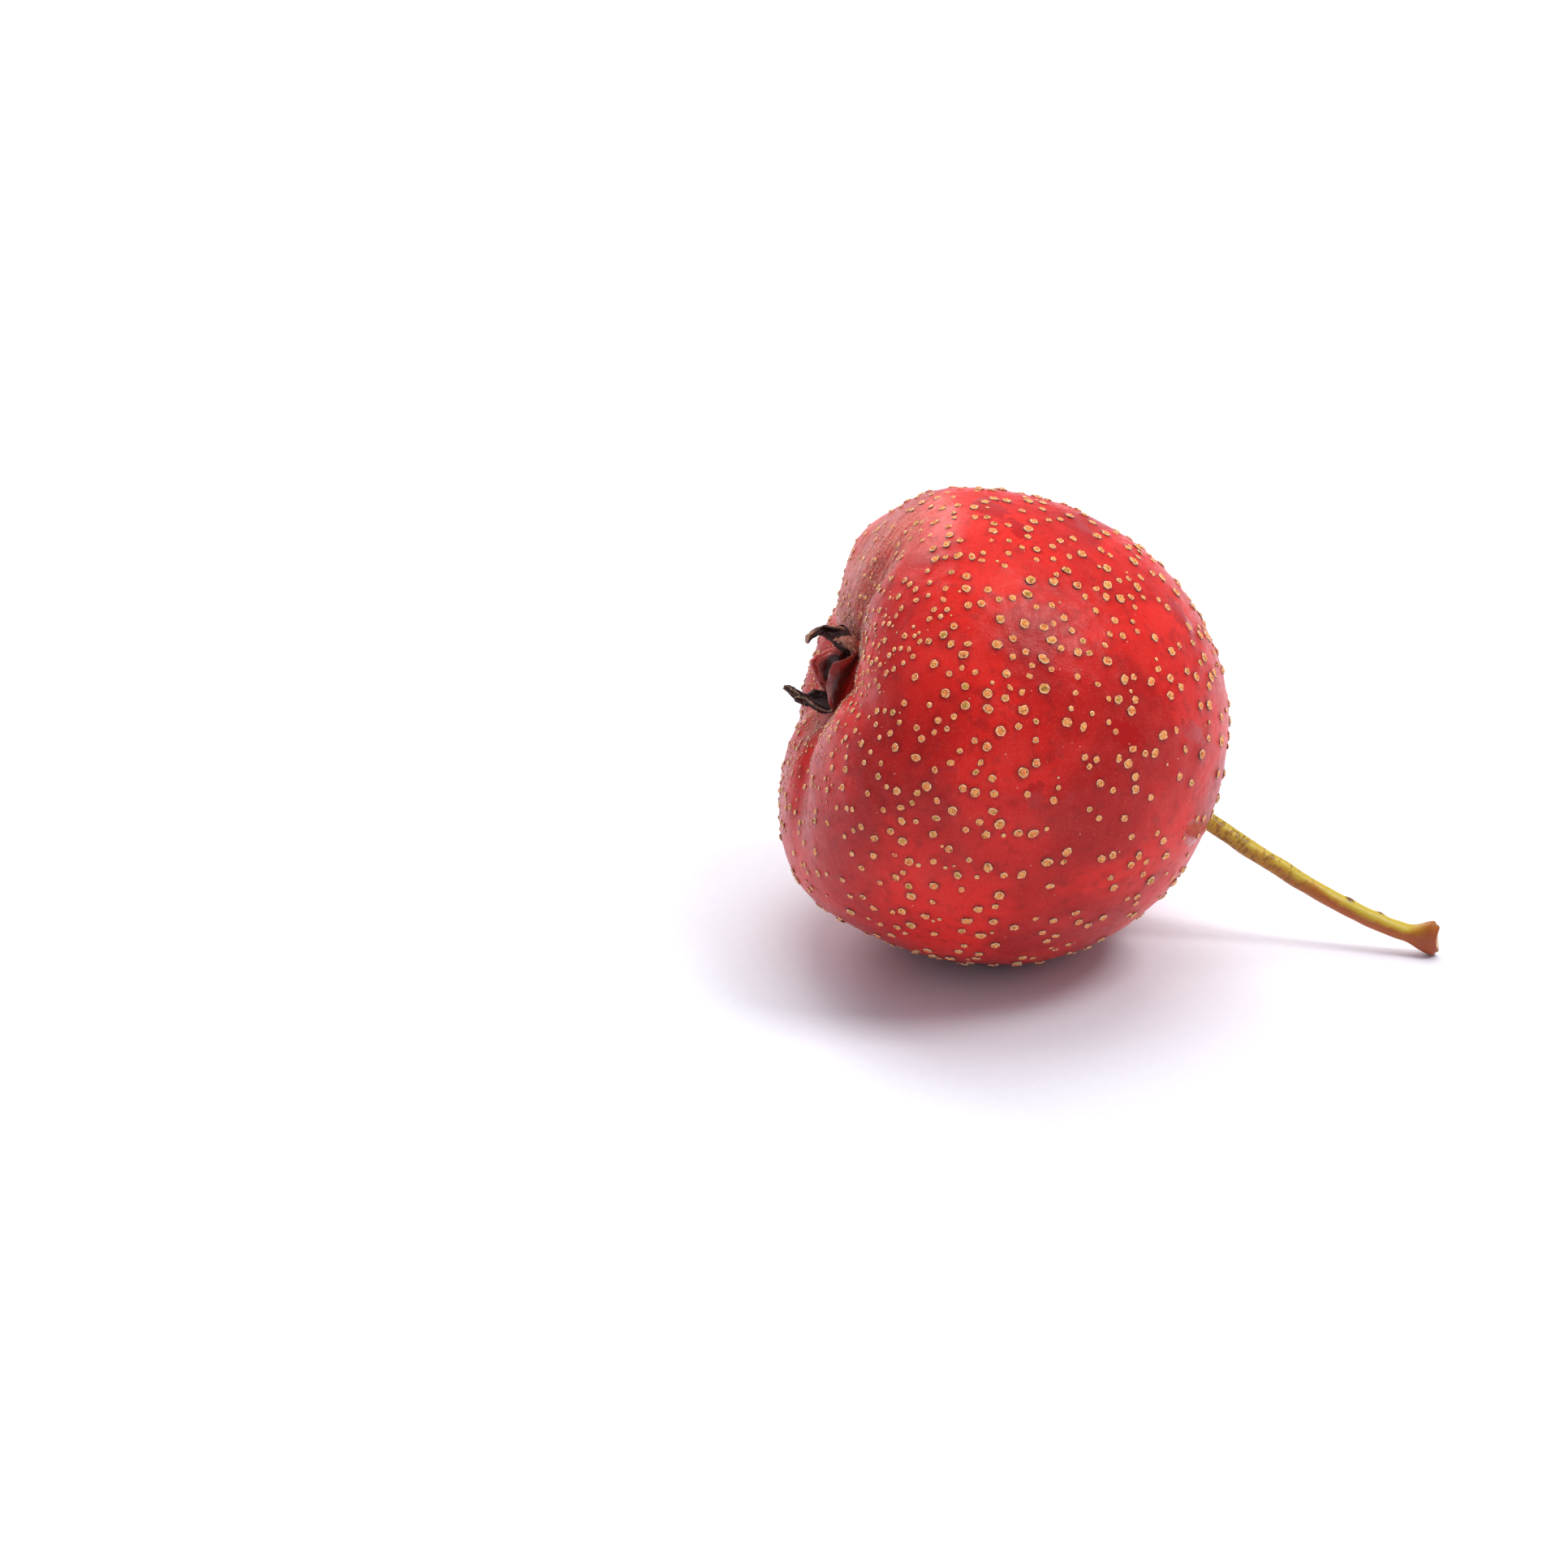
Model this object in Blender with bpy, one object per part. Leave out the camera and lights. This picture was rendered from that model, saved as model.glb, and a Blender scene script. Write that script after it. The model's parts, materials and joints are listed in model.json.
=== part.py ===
"""A hawthorn berry lying on its side: the fruit, its stem, its dried calyx and the withered stamens.

Run it with blender --background --python part.py, or from Blender's text editor.
"""

import math
import random

import bmesh
import bpy
from mathutils import Matrix, Vector
from mathutils.geometry import delaunay_2d_cdt

# Sizes are in millimetres and angles in degrees. MM turns millimetres into Blender's metres.
MM = 0.001
SAME_PLACE = 1e-9  # flat points closer than this are one
RIM_TOLERANCE = 0.01  # along the axis, for telling a seat's rim
CUT_TOLERANCE = 0.0005

# The berry's own axes: its origin is in the middle of its widest section, its axis runs along X
# from the calyx (-X) to the stem (+X), and azimuths turn round X from Y towards Z.
GIRTH_RADIUS = 12.8  # of the widest section
CALYX_REACH = 9.6  # from the widest section to the calyx end, before the basin is sunk
STEM_REACH = 13.35  # from the widest section to the stem end, before the cavity is sunk
CALYX_FULLNESS = 1.2  # added to the exponent 2 of a plain ellipse, for the blunt calyx end
STEM_FULLNESS = 0.1  # the same for the rounder stem end

# How the berry lies: the stem end dips, and the belly rests on a small flat spot.
AXIS_DIP = 22.0
REST_HEIGHT = 12.65  # of the berry's origin over the surface
REST_CLEAR_RADIUS = 3.5  # round the lowest point, where no lenticel grows

# The basin round the calyx, and the seat that the calyx stands in
BASIN_DEPTH = 1.6
BASIN_SPREAD = 20.0
BASIN_POWER = 3.0
CALYX_SEAT_RADIUS = 2.45
CALYX_SEAT_AXIAL = 8.6  # of its rim, from the widest section
CALYX_SEAT_DEPTH = 1.4
CALYX_SEAT_SIDES = 24
CALYX_OFFSET = 0.4  # of the calyx from the berry's axis
CALYX_OFFSET_AZIMUTH = 64.0

# The cavity round the stem, and the hole that the stem stands in
CAVITY_DEPTH = 2.6
CAVITY_SPREAD = 12.0
CAVITY_POWER = 1.5
STEM_HOLE_RADIUS = 0.9
STEM_HOLE_AXIAL = 11.3
STEM_HOLE_DEPTH = 1.2
STEM_HOLE_SIDES = 14

# Five grooves part the shoulders round the calyx: the azimuth and the depth of each
GROOVES = ((22.0, 0.55), (91.0, 1.0), (166.0, 0.5), (238.0, 0.6), (310.0, 0.5))
GROOVE_HALF_WIDTH = 11.0
GROOVE_POLAR = 31.0  # where a groove is deepest, as an angle from the calyx end
GROOVE_SPREAD = 16.0

# Slow unevenness of the flesh: height, waves round the axis, waves along it, phase
SWELLS = ((0.11, 2, 1.0, 0.4), (0.09, 3, 2.0, 2.1), (0.06, 5, 3.0, 4.0))

# Slow rises and hollows of the shoulders: azimuth, height, half width, polar angle, spread
SHOULDERS = ((343.0, -1.06, 39.0, 43.5, 13.2), (38.0, 0.5, 13.0, 47.0, 11.0), (135.0, -0.5, 40.0, 22.0, 9.0))

# The lenticels, corky warts all over the skin. Near the calyx they are small and close together.
LENTICEL_SEED = 27
LENTICEL_TRIES = 1350
LENTICEL_HEIGHT = 0.13
LENTICEL_SLOPE = 0.6  # highest height of a wart against its foot's radius
LENTICEL_SIDES = 5
LENTICEL_TURN = 40.0  # turn of the foot's corners in radians, per millimetre of its radius
LENTICEL_TOP_SHARE = 0.66  # radius of the flat top against the foot
CONE_RADIUS = 0.3  # below this a wart is a plain cone
SMALL_RADIUS = 0.13  # of a foot near the calyx, before its seeded spread
RADIUS_GROWTH = 0.125  # added away from the calyx
RADIUS_SPREAD = (0.72, 1.35)
ELBOW_ROOM = (0.1, 0.8)  # kept free round a lenticel
CROWDING = 0.5  # of that room, where the lenticels are smallest
TWIN_SHARE = 0.1  # of the draws, for a lenticel that all but touches the last one
TWIN_GAP = 0.05
SMALL_ZONE = 30.0  # polar angle from the calyx up to which all are small
LARGE_ZONE = 75.0  # polar angle from the calyx beyond which they have their full size
BARE_CALYX_ZONE = 20.5
BARE_STEM_ZONE = 170.0
SKIN_POINTS = 1400  # plain points of the skin, before those under lenticels are dropped
SKIN_POINT_CLEARANCE = 0.45  # from a lenticel's foot
CALYX_EDGE_CLEARANCE = 1.3  # angle of the plain points nearest the axis, against the seat's rim
STEM_EDGE_CLEARANCE = 1.5
FRAME_STEP = 0.01  # how far aside the skin is sampled to find its slope

# The stem, from the hole to the two-lobed end that touches the surface
STEM_ROOT_AXIAL = 10.4
STEM_YAW = -20.0  # sideways from the berry's axis, towards -Y
STEM_RUN = 15.8  # along the surface, from root to tip
STEM_TIP_RISE = 1.25  # of the tip's centre over the surface
STEM_PULL = (0.40, 0.78)  # how far along the run the two inner control points stand
STEM_PULL_HEIGHT = (4.85, 1.2)  # heights of those control points over the surface
STEM_RADIUS = 0.43
STEM_ROOT_EXTRA = 0.15
STEM_END_HALF_HEIGHT = 1.02
STEM_END_HALF_WIDTH = 0.62
STEM_SIDES = 14
STEM_ROOT_SHARE = 0.16  # of the stem, over which the root tapers
STEM_END_SHARES = (0.86, 0.99)  # where the end flares
STEM_STEP = 0.01  # share of the stem over which its direction is taken
# Rings that close the end: size against the last full ring, and distance past it
STEM_END_ROUNDING = ((0.93, 0.12), (0.8, 0.18), (0.62, 0.14), (0.3, -0.06))
STEM_RINGS = 44
STEM_LOBE_REACH = 0.12  # how far the two lobes stand past the middle of the end
# Bud scars and dry flecks on the stem: place along it, azimuth round it, height, half-length
STEM_BUMPS = (
    (0.27, 250.0, 0.06, 0.7),
    (0.42, 80.0, 0.10, 0.6),
    (0.60, 90.0, 0.07, 0.6),
    (0.74, 75.0, 0.12, 0.5),
)
STEM_BUMP_HALF_ANGLE = 40.0

# The calyx: a short cup with five dry sepals
CALYX_OUTER_RADIUS = 2.12
CALYX_WALL = 0.6
CALYX_BASE_AXIAL = 7.5
CALYX_TUBE_LENGTH = 1.1
CALYX_FLOOR = 0.6
SEPAL_COLUMNS = 8
SEPAL_ROWS = 9
SEPAL_STEPS = 10  # short strides that follow a sepal's curl
SEPAL_NARROWING = 0.2
# Each sepal: azimuth, half width, length, angle from the axis at its foot and at its tip, sideways
# lean, and bluntness, which is low for a pointed end and high for a round one
SEPALS = (
    (55.0, 32.0, 3.3, 36.0, -95.0, 0.1, 1.8),
    (103.0, 16.0, 1.6, 10.0, -50.0, 0.0, 1.8),
    (179.0, 60.0, 1.5, 40.0, -45.0, 0.0, 1.8),
    (270.5, 31.5, 2.7, 16.0, -24.0, 0.1, 3.0),
    (342.5, 40.5, 1.3, 22.0, -10.0, 0.0, 2.6),
)

# The stamens and styles: a low pad on the floor of the cup, and withered threads on it
PAD_RADIUS = 1.12
PAD_HEIGHT = 0.5
PAD_CROWN_HEIGHT = 0.1
PAD_CROWN_SHARE = 0.7
PAD_SIDES = 16
THREADS = 7
THREAD_RING_RADIUS = 0.62
THREAD_RADIUS = 0.23
THREAD_LENGTH = 0.65
THREAD_LENGTH_SPREAD = (0.7, 1.15)
THREAD_TURN = 12.0  # seeded shift of each thread round the ring, in degrees
THREAD_BEND = (-0.2, 0.1)  # outwards at the tip
THREAD_TWIST = 0.25  # sideways at the tip
THREAD_HEAD = 0.25  # how much wider the head is, as a share
THREAD_HEAD_SHARES = (0.7, 1.0)
THREAD_SIDES = 6
THREAD_RINGS = 6
THREAD_SEED = 5
GAP = 0.3  # left between pieces that touch

SKIN_RED = (0.42, 0.012, 0.014)
STEM_OLIVE = (0.42, 0.30, 0.045)
SEPAL_BROWN = (0.16, 0.035, 0.022)
THREAD_BROWN = (0.10, 0.045, 0.022)


def clear_scene():
    """Remove what the scene holds before the model is made."""
    for old in list(bpy.data.objects):
        bpy.data.objects.remove(old, do_unlink=True)


def finish(name, colour, roughness):
    """A plain Principled material in the piece's own colour."""
    material = bpy.data.materials.new(name)
    material.use_nodes = True
    shader = material.node_tree.nodes["Principled BSDF"]
    shader.inputs["Base Color"].default_value = (*colour, 1.0)
    shader.inputs["Roughness"].default_value = roughness
    shader.inputs["Metallic"].default_value = 0.0
    return material


def add_object(name, shape, material, parent):
    """Turn a bmesh in millimetres into a smooth-shaded object in metres, carried by its parent."""
    bmesh.ops.recalc_face_normals(shape, faces=shape.faces)
    bmesh.ops.scale(shape, vec=(MM, MM, MM), verts=shape.verts)
    mesh = bpy.data.meshes.new(name)
    shape.to_mesh(mesh)
    shape.free()
    mesh.shade_smooth()
    mesh.set_sharp_from_angle(angle=math.radians(50))
    piece = bpy.data.objects.new(name, mesh)
    bpy.context.scene.collection.objects.link(piece)
    piece.data.materials.append(material)
    piece.parent = parent
    return piece


def empty(name, parent, location, rotation):
    """An empty that carries pieces, placed in millimetres and turned in radians."""
    holder = bpy.data.objects.new(name, None)
    bpy.context.scene.collection.objects.link(holder)
    holder.parent = parent
    holder.location = Vector(location) * MM
    holder.rotation_euler = rotation
    return holder


def dip():
    """The turn from the berry's own axes to the way it lies."""
    return Matrix.Rotation(math.radians(AXIS_DIP), 3, "Y")


def ring_direction(azimuth):
    """Unit vector square to the berry's axis, at an azimuth in degrees."""
    turn = math.radians(azimuth)
    return Vector((0.0, math.cos(turn), math.sin(turn)))


def angle_apart(first, second):
    """The smaller angle between two azimuths in degrees."""
    return abs((first - second + 180.0) % 360.0 - 180.0)


def calyx_centre():
    """How far the calyx stands off the berry's axis."""
    return ring_direction(CALYX_OFFSET_AZIMUTH) * CALYX_OFFSET


def skin_radius(direction):
    """Distance from the berry's origin to its skin, without lenticels, along a unit direction."""
    towards_calyx = -direction.x
    across = math.hypot(direction.y, direction.z)
    polar = math.degrees(math.atan2(across, towards_calyx))
    azimuth = math.degrees(math.atan2(direction.z, direction.y))
    if towards_calyx > 0.0:
        reach = CALYX_REACH
        power = 2.0 + CALYX_FULLNESS * min(1.0, 2.0 * towards_calyx)
    else:
        reach = STEM_REACH
        power = 2.0 - STEM_FULLNESS * max(-1.0, 2.0 * towards_calyx)
    radius = ((across / GIRTH_RADIUS) ** power + (abs(towards_calyx) / reach) ** power) ** (-1.0 / power)
    radius -= BASIN_DEPTH * math.exp(-((polar / BASIN_SPREAD) ** BASIN_POWER))
    radius -= CAVITY_DEPTH * math.exp(-(((180.0 - polar) / CAVITY_SPREAD) ** CAVITY_POWER))
    fade = math.exp(-(((polar - GROOVE_POLAR) / GROOVE_SPREAD) ** 2))
    for place, depth in GROOVES:
        apart = angle_apart(azimuth, place) / GROOVE_HALF_WIDTH
        radius -= depth * fade * math.exp(-(apart**2))
    for height, around, along, phase in SWELLS:
        wave = math.sin(around * math.radians(azimuth) + phase) * math.sin(along * math.radians(polar))
        radius += height * wave * across**2
    for place, height, half_width, middle, spread in SHOULDERS:
        ridge = (angle_apart(azimuth, place) / half_width) ** 2 + ((polar - middle) / spread) ** 2
        radius += height * math.exp(-ridge)
    return radius


def skin_point(direction):
    """Point of the skin along a unit direction."""
    return direction * skin_radius(direction)


def skin_frame(direction):
    """The skin's point in a direction, with two unit vectors that lie along the skin there."""
    point = skin_point(direction)
    side = direction.cross(Vector((1.0, 0.0, 0.0))).normalized()
    other = direction.cross(side)
    along = (skin_point((direction + side * FRAME_STEP).normalized()) - point).normalized()
    across = (skin_point((direction + other * FRAME_STEP).normalized()) - point).normalized()
    across = (across - along * across.dot(along)).normalized()
    return point, along, across


def lenticel_beside(partner, partner_radius, radius, heading):
    """Direction of a lenticel that all but touches its partner, on a heading in degrees."""
    side = partner.cross(Vector((1.0, 0.0, 0.0))).normalized()
    other = partner.cross(side)
    tangent = side * math.cos(math.radians(heading)) + other * math.sin(math.radians(heading))
    reach = (partner_radius + radius + 2.0 * TWIN_GAP) / skin_radius(partner)
    return (partner + tangent * reach).normalized()


def polar_angle(direction):
    """Angle from the calyx end, in degrees."""
    return math.degrees(math.acos(-direction.x))


def lenticels():
    """The corky warts as (direction, radius), by a seeded draw that keeps those that find room."""
    draw = random.Random(LENTICEL_SEED)
    lowest = dip().inverted() @ Vector((0.0, 0.0, -1.0))
    warts = []
    for _ in range(LENTICEL_TRIES):
        axial = draw.uniform(-1.0, 1.0)
        across = math.sqrt(1.0 - axial * axial)
        direction = ring_direction(draw.uniform(0.0, 360.0)) * across + Vector((axial, 0.0, 0.0))
        growth = draw.uniform(*RADIUS_SPREAD)
        elbow = draw.uniform(*ELBOW_ROOM)
        twin = draw.random() < TWIN_SHARE and len(warts) > 0
        heading = draw.uniform(0.0, 360.0)
        polar = polar_angle(warts[-1][1]) if twin else polar_angle(direction)
        share = min(1.0, max(0.0, (polar - SMALL_ZONE) / (LARGE_ZONE - SMALL_ZONE)))
        radius = (SMALL_RADIUS + RADIUS_GROWTH * share) * growth
        room = elbow * (CROWDING + (1.0 - CROWDING) * share)
        if twin:
            direction = lenticel_beside(warts[-1][1], warts[-1][2], radius, heading)
            room = TWIN_GAP
        if not BARE_CALYX_ZONE < polar_angle(direction) < BARE_STEM_ZONE:
            continue
        centre = skin_point(direction)
        if centre.angle(lowest) * centre.length < REST_CLEAR_RADIUS + radius:
            continue
        if all((centre - other).length > room + radius + other_radius for other, _, other_radius in warts):
            warts.append((centre, direction, radius))
    return [(direction, radius) for _, direction, radius in warts]


def wart_points(direction, radius):
    """Points of one wart as (direction, height over the skin): its foot, then its top."""
    point, along, across = skin_frame(direction)
    top = min(LENTICEL_HEIGHT, LENTICEL_SLOPE * radius)
    cone = radius < CONE_RADIUS
    rows = ((radius, 0.0),) if cone else ((radius, 0.0), (radius * LENTICEL_TOP_SHARE, top))
    points = []
    for reach, height in rows:
        for side in range(LENTICEL_SIDES):
            turn = 2.0 * math.pi * side / LENTICEL_SIDES + LENTICEL_TURN * radius
            place = point + (along * math.cos(turn) + across * math.sin(turn)) * reach
            points.append((place.normalized(), height))
    if cone:
        points.append((direction, top))
    return points


def seat_ring(centre, radius, sides):
    """The rim of a round seat that faces along the berry's axis, as points."""
    return [centre + ring_direction(360.0 * side / sides) * radius for side in range(sides)]


def spread_directions(count):
    """Directions spread evenly over a sphere along a spiral."""
    golden = math.pi * (3.0 - math.sqrt(5.0))
    for index in range(count):
        axial = 1.0 - (2.0 * index + 1.0) / count
        across = math.sqrt(1.0 - axial * axial)
        yield Vector((axial, across * math.cos(golden * index), across * math.sin(golden * index)))


def skin_vertices():
    """All points of the skin: the two seats' rims, the warts, and plain points between them."""
    calyx_seat = calyx_centre() - Vector((CALYX_SEAT_AXIAL, 0.0, 0.0))
    calyx_rim = seat_ring(calyx_seat, CALYX_SEAT_RADIUS, CALYX_SEAT_SIDES)
    stem_rim = seat_ring(Vector((STEM_HOLE_AXIAL, 0.0, 0.0)), STEM_HOLE_RADIUS, STEM_HOLE_SIDES)
    points = calyx_rim + stem_rim
    warts = lenticels()
    for direction, radius in warts:
        for place, height in wart_points(direction, radius):
            points.append(place * (skin_radius(place) + height))
    centres = [(skin_point(direction), radius) for direction, radius in warts]
    calyx_edge = math.atan(CALYX_SEAT_RADIUS / CALYX_SEAT_AXIAL) * CALYX_EDGE_CLEARANCE
    stem_edge = math.atan(STEM_HOLE_RADIUS / STEM_HOLE_AXIAL) * STEM_EDGE_CLEARANCE
    for direction in spread_directions(SKIN_POINTS):
        point = skin_point(direction)
        if direction.angle(calyx_seat) < calyx_edge:
            continue
        if direction.angle(Vector((1.0, 0.0, 0.0))) < stem_edge:
            continue
        if all((point - centre).length > radius + SKIN_POINT_CLEARANCE for centre, radius in centres):
            points.append(point)
    return points


def skin_shape():
    """The skin as a bmesh, open at both seats.

    The points' directions are laid flat by a stereographic projection from the stem end, which
    keeps circles round, so that the flat Delaunay triangles are the best ones on the berry too.
    """
    points = skin_vertices()
    flat = []
    for point in points:
        direction = point.normalized()
        flat.append(Vector((direction.y, direction.z)) / (1.0 - direction.x))
    triangles = delaunay_2d_cdt(flat, [], [], 0, SAME_PLACE)[2]
    shape = bmesh.new()
    vertices = [shape.verts.new(point) for point in points]
    for corners in triangles:
        if max(corners) >= CALYX_SEAT_SIDES:
            shape.faces.new([vertices[corner] for corner in corners])
    return shape


def sink_seat(shape, axial, inwards):
    """Extrude the open rim that lies near an axial place inwards, and close it with a flat floor."""
    open_edges = [edge for edge in shape.edges if edge.is_boundary]
    rim = [edge for edge in open_edges if abs(edge.verts[0].co.x - axial) < RIM_TOLERANCE]
    walls = bmesh.ops.extrude_edge_only(shape, edges=rim)["geom"]
    floor_points = [item for item in walls if isinstance(item, bmesh.types.BMVert)]
    bmesh.ops.translate(shape, vec=(inwards, 0.0, 0.0), verts=floor_points)
    floor = [item for item in walls if isinstance(item, bmesh.types.BMEdge) and item.is_boundary]
    bmesh.ops.contextual_create(shape, geom=floor)


def make_fruit(parent):
    """The fruit with its relief, both seats and the flat spot that it rests on."""
    shape = skin_shape()
    sink_seat(shape, -CALYX_SEAT_AXIAL, CALYX_SEAT_DEPTH)
    sink_seat(shape, STEM_HOLE_AXIAL, -STEM_HOLE_DEPTH)
    down = dip().inverted() @ Vector((0.0, 0.0, -1.0))
    cut = bmesh.ops.bisect_plane(
        shape,
        geom=shape.verts[:] + shape.edges[:] + shape.faces[:],
        dist=CUT_TOLERANCE,
        plane_co=down * REST_HEIGHT,
        plane_no=down,
        clear_outer=True,
    )
    edges = [item for item in cut["geom_cut"] if isinstance(item, bmesh.types.BMEdge)]
    bmesh.ops.contextual_create(shape, geom=edges)
    return add_object("fruit", shape, finish("red_skin", SKIN_RED, 0.35), parent)


def smooth_step(low, high, value):
    """0 below low, 1 above high, and a smooth rise between them."""
    share = min(1.0, max(0.0, (value - low) / (high - low)))
    return share * share * (3.0 - 2.0 * share)


def bridge_rings(shape, rings):
    """Skin closed rings of points, with a flat face over each end."""
    rows = [[shape.verts.new(point) for point in ring] for ring in rings]
    count = len(rows[0])
    for lower, upper in zip(rows, rows[1:]):
        for side in range(count):
            following = (side + 1) % count
            shape.faces.new((lower[side], lower[following], upper[following], upper[side]))
    shape.faces.new(list(reversed(rows[0])))
    shape.faces.new(rows[-1])


def stem_path(share):
    """Point of the stem's middle line, from its root (0) to its tip (1), round the berry's origin."""
    root = dip() @ Vector((STEM_ROOT_AXIAL, 0.0, 0.0))
    heading = Matrix.Rotation(math.radians(STEM_YAW), 3, "Z") @ Vector((1.0, 0.0, 0.0))
    stops = [root]
    for pull, height in zip(STEM_PULL + (1.0,), STEM_PULL_HEIGHT + (STEM_TIP_RISE,)):
        stop = root + heading * STEM_RUN * pull
        stop.z = height - REST_HEIGHT
        stops.append(stop)
    rest = 1.0 - share
    weights = (rest**3, 3.0 * rest**2 * share, 3.0 * rest * share**2, share**3)
    return sum((stop * weight for stop, weight in zip(stops, weights)), Vector())


def stem_ring(share):
    """One cross-section of the stem: round, and tall with two lobes at the end."""
    centre = stem_path(share)
    forward = (stem_path(min(1.0, share + STEM_STEP)) - stem_path(max(0.0, share - STEM_STEP))).normalized()
    upward = (Vector((0.0, 0.0, 1.0)) - forward * forward.z).normalized()
    sideways = forward.cross(upward)
    flare = smooth_step(*STEM_END_SHARES, share)
    root = STEM_ROOT_EXTRA * (1.0 - smooth_step(0.0, STEM_ROOT_SHARE, share))
    tall = STEM_RADIUS + root + (STEM_END_HALF_HEIGHT - STEM_RADIUS) * flare
    wide = STEM_RADIUS + root + (STEM_END_HALF_WIDTH - STEM_RADIUS) * flare
    ring = []
    for side in range(STEM_SIDES):
        azimuth = 360.0 * side / STEM_SIDES
        turn = math.radians(azimuth)
        swell = 0.0
        for place, facing, height, half_length in STEM_BUMPS:
            along = (share - place) * STEM_RUN / half_length
            apart = angle_apart(azimuth, facing) / STEM_BUMP_HALF_ANGLE
            swell += height * math.exp(-(along**2) - apart**2)
        lobe = STEM_LOBE_REACH * flare * math.sin(turn) ** 2
        place = sideways * math.cos(turn) * (wide + swell) + upward * math.sin(turn) * (tall + swell)
        ring.append(centre + place + forward * lobe)
    return ring


def make_stem(parent):
    """The stem with its scars and its two-lobed end, let down until the end touches the surface."""
    rings = [stem_ring(index / (STEM_RINGS - 1)) for index in range(STEM_RINGS)]
    end = rings[-1]
    middle = sum(end, Vector()) / len(end)
    forward = (stem_path(1.0) - stem_path(1.0 - STEM_STEP)).normalized()
    for scale, advance in STEM_END_ROUNDING:
        rings.append([middle + (point - middle) * scale + forward * advance for point in end])
    lowest = min(point.z for ring in rings for point in ring) + REST_HEIGHT
    for index, ring in enumerate(rings):
        share = min(1.0, index / (STEM_RINGS - 1))
        for point in ring:
            point.z -= lowest * share * share
    shape = bmesh.new()
    bridge_rings(shape, rings)
    return add_object("stem", shape, finish("olive_stem", STEM_OLIVE, 0.5), parent)


def sepal_reach(sepal, across):
    """Length of a sepal over the cup's rim, at a place across its width from -1 to 1."""
    return sepal[2] * (1.0 - abs(across) ** sepal[6])


def sepal_point(sepal, across, share, inner):
    """A point of the calyx wall.

    The wall's arc is carried up the cup and then out along the sepal. across runs from -1 to 1
    over the sepal's width, share from the base (0) to the edge (1).
    """
    azimuth, half_width, length, foot_angle, tip_angle, lean, _ = sepal
    spoke = ring_direction(azimuth + across * half_width)
    middle = ring_direction(azimuth)
    beside = ring_direction(azimuth + 90.0)
    travelled = share * (CALYX_TUBE_LENGTH + sepal_reach(sepal, across))
    beyond = max(0.0, travelled - CALYX_TUBE_LENGTH)
    point = calyx_centre() + spoke * CALYX_OUTER_RADIUS
    point.x -= CALYX_BASE_AXIAL + min(travelled, CALYX_TUBE_LENGTH)
    stride = beyond / SEPAL_STEPS
    angle = 0.0
    for step in range(SEPAL_STEPS):
        along = (step + 0.5) * stride / length
        angle = math.radians(foot_angle + (tip_angle - foot_angle) * along)
        point += (middle * math.sin(angle) + beside * lean * along) * stride
        point.x -= math.cos(angle) * stride
    point -= beside * across * smooth_step(0.0, length, beyond) * CALYX_OUTER_RADIUS * SEPAL_NARROWING
    if inner:
        angle *= min(1.0, beyond / CALYX_WALL)
        point -= (spoke * math.cos(angle) + Vector((math.sin(angle), 0.0, 0.0))) * CALYX_WALL
    return point


def calyx_ring(share, inner):
    """One closed ring of the calyx wall, at a share of the way from the base to the sepals' edges."""
    ring = []
    for sepal in SEPALS:
        for column in range(SEPAL_COLUMNS):
            across = 2.0 * column / SEPAL_COLUMNS - 1.0
            start = CALYX_FLOOR / (CALYX_TUBE_LENGTH + sepal_reach(sepal, across)) if inner else 0.0
            ring.append(sepal_point(sepal, across, start + (1.0 - start) * share, inner))
    return ring


def make_calyx(parent):
    """The calyx cup and its five sepals as one closed body with a deeply cut rim."""
    outer = [calyx_ring(row / SEPAL_ROWS, False) for row in range(SEPAL_ROWS + 1)]
    inner = [calyx_ring(row / SEPAL_ROWS, True) for row in range(SEPAL_ROWS + 1)]
    shape = bmesh.new()
    bridge_rings(shape, outer + inner[::-1])
    return add_object("calyx", shape, finish("dry_sepal", SEPAL_BROWN, 0.45), parent)


def thread_rings(azimuth, length, bend, twist):
    """Cross-sections of one withered thread, from inside the pad to its tip."""
    foot = CALYX_BASE_AXIAL + CALYX_FLOOR + GAP + 0.5 * PAD_HEIGHT
    spoke = ring_direction(azimuth)
    beside = ring_direction(azimuth + 90.0)
    rings = []
    for row in range(THREAD_RINGS):
        share = row / (THREAD_RINGS - 1)
        centre = calyx_centre() + spoke * (THREAD_RING_RADIUS + bend * share**2) + beside * twist * share**2
        centre.x -= foot + length * share
        radius = THREAD_RADIUS * (1.0 + THREAD_HEAD * smooth_step(*THREAD_HEAD_SHARES, share))
        ring = []
        for side in range(THREAD_SIDES):
            turn = 2.0 * math.pi * side / THREAD_SIDES
            ring.append(centre + (spoke * math.cos(turn) + beside * math.sin(turn)) * radius)
        rings.append(ring)
    return rings


def pad_rings():
    """Cross-sections of the pad: two full ones and a smaller crown."""
    base = calyx_centre()
    base.x -= CALYX_BASE_AXIAL + CALYX_FLOOR + GAP
    top = base - Vector((PAD_HEIGHT, 0.0, 0.0))
    crown = top - Vector((PAD_CROWN_HEIGHT, 0.0, 0.0))
    radii = (PAD_RADIUS, PAD_RADIUS, PAD_RADIUS * PAD_CROWN_SHARE)
    return [seat_ring(centre, radius, PAD_SIDES) for centre, radius in zip((base, top, crown), radii)]


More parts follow.
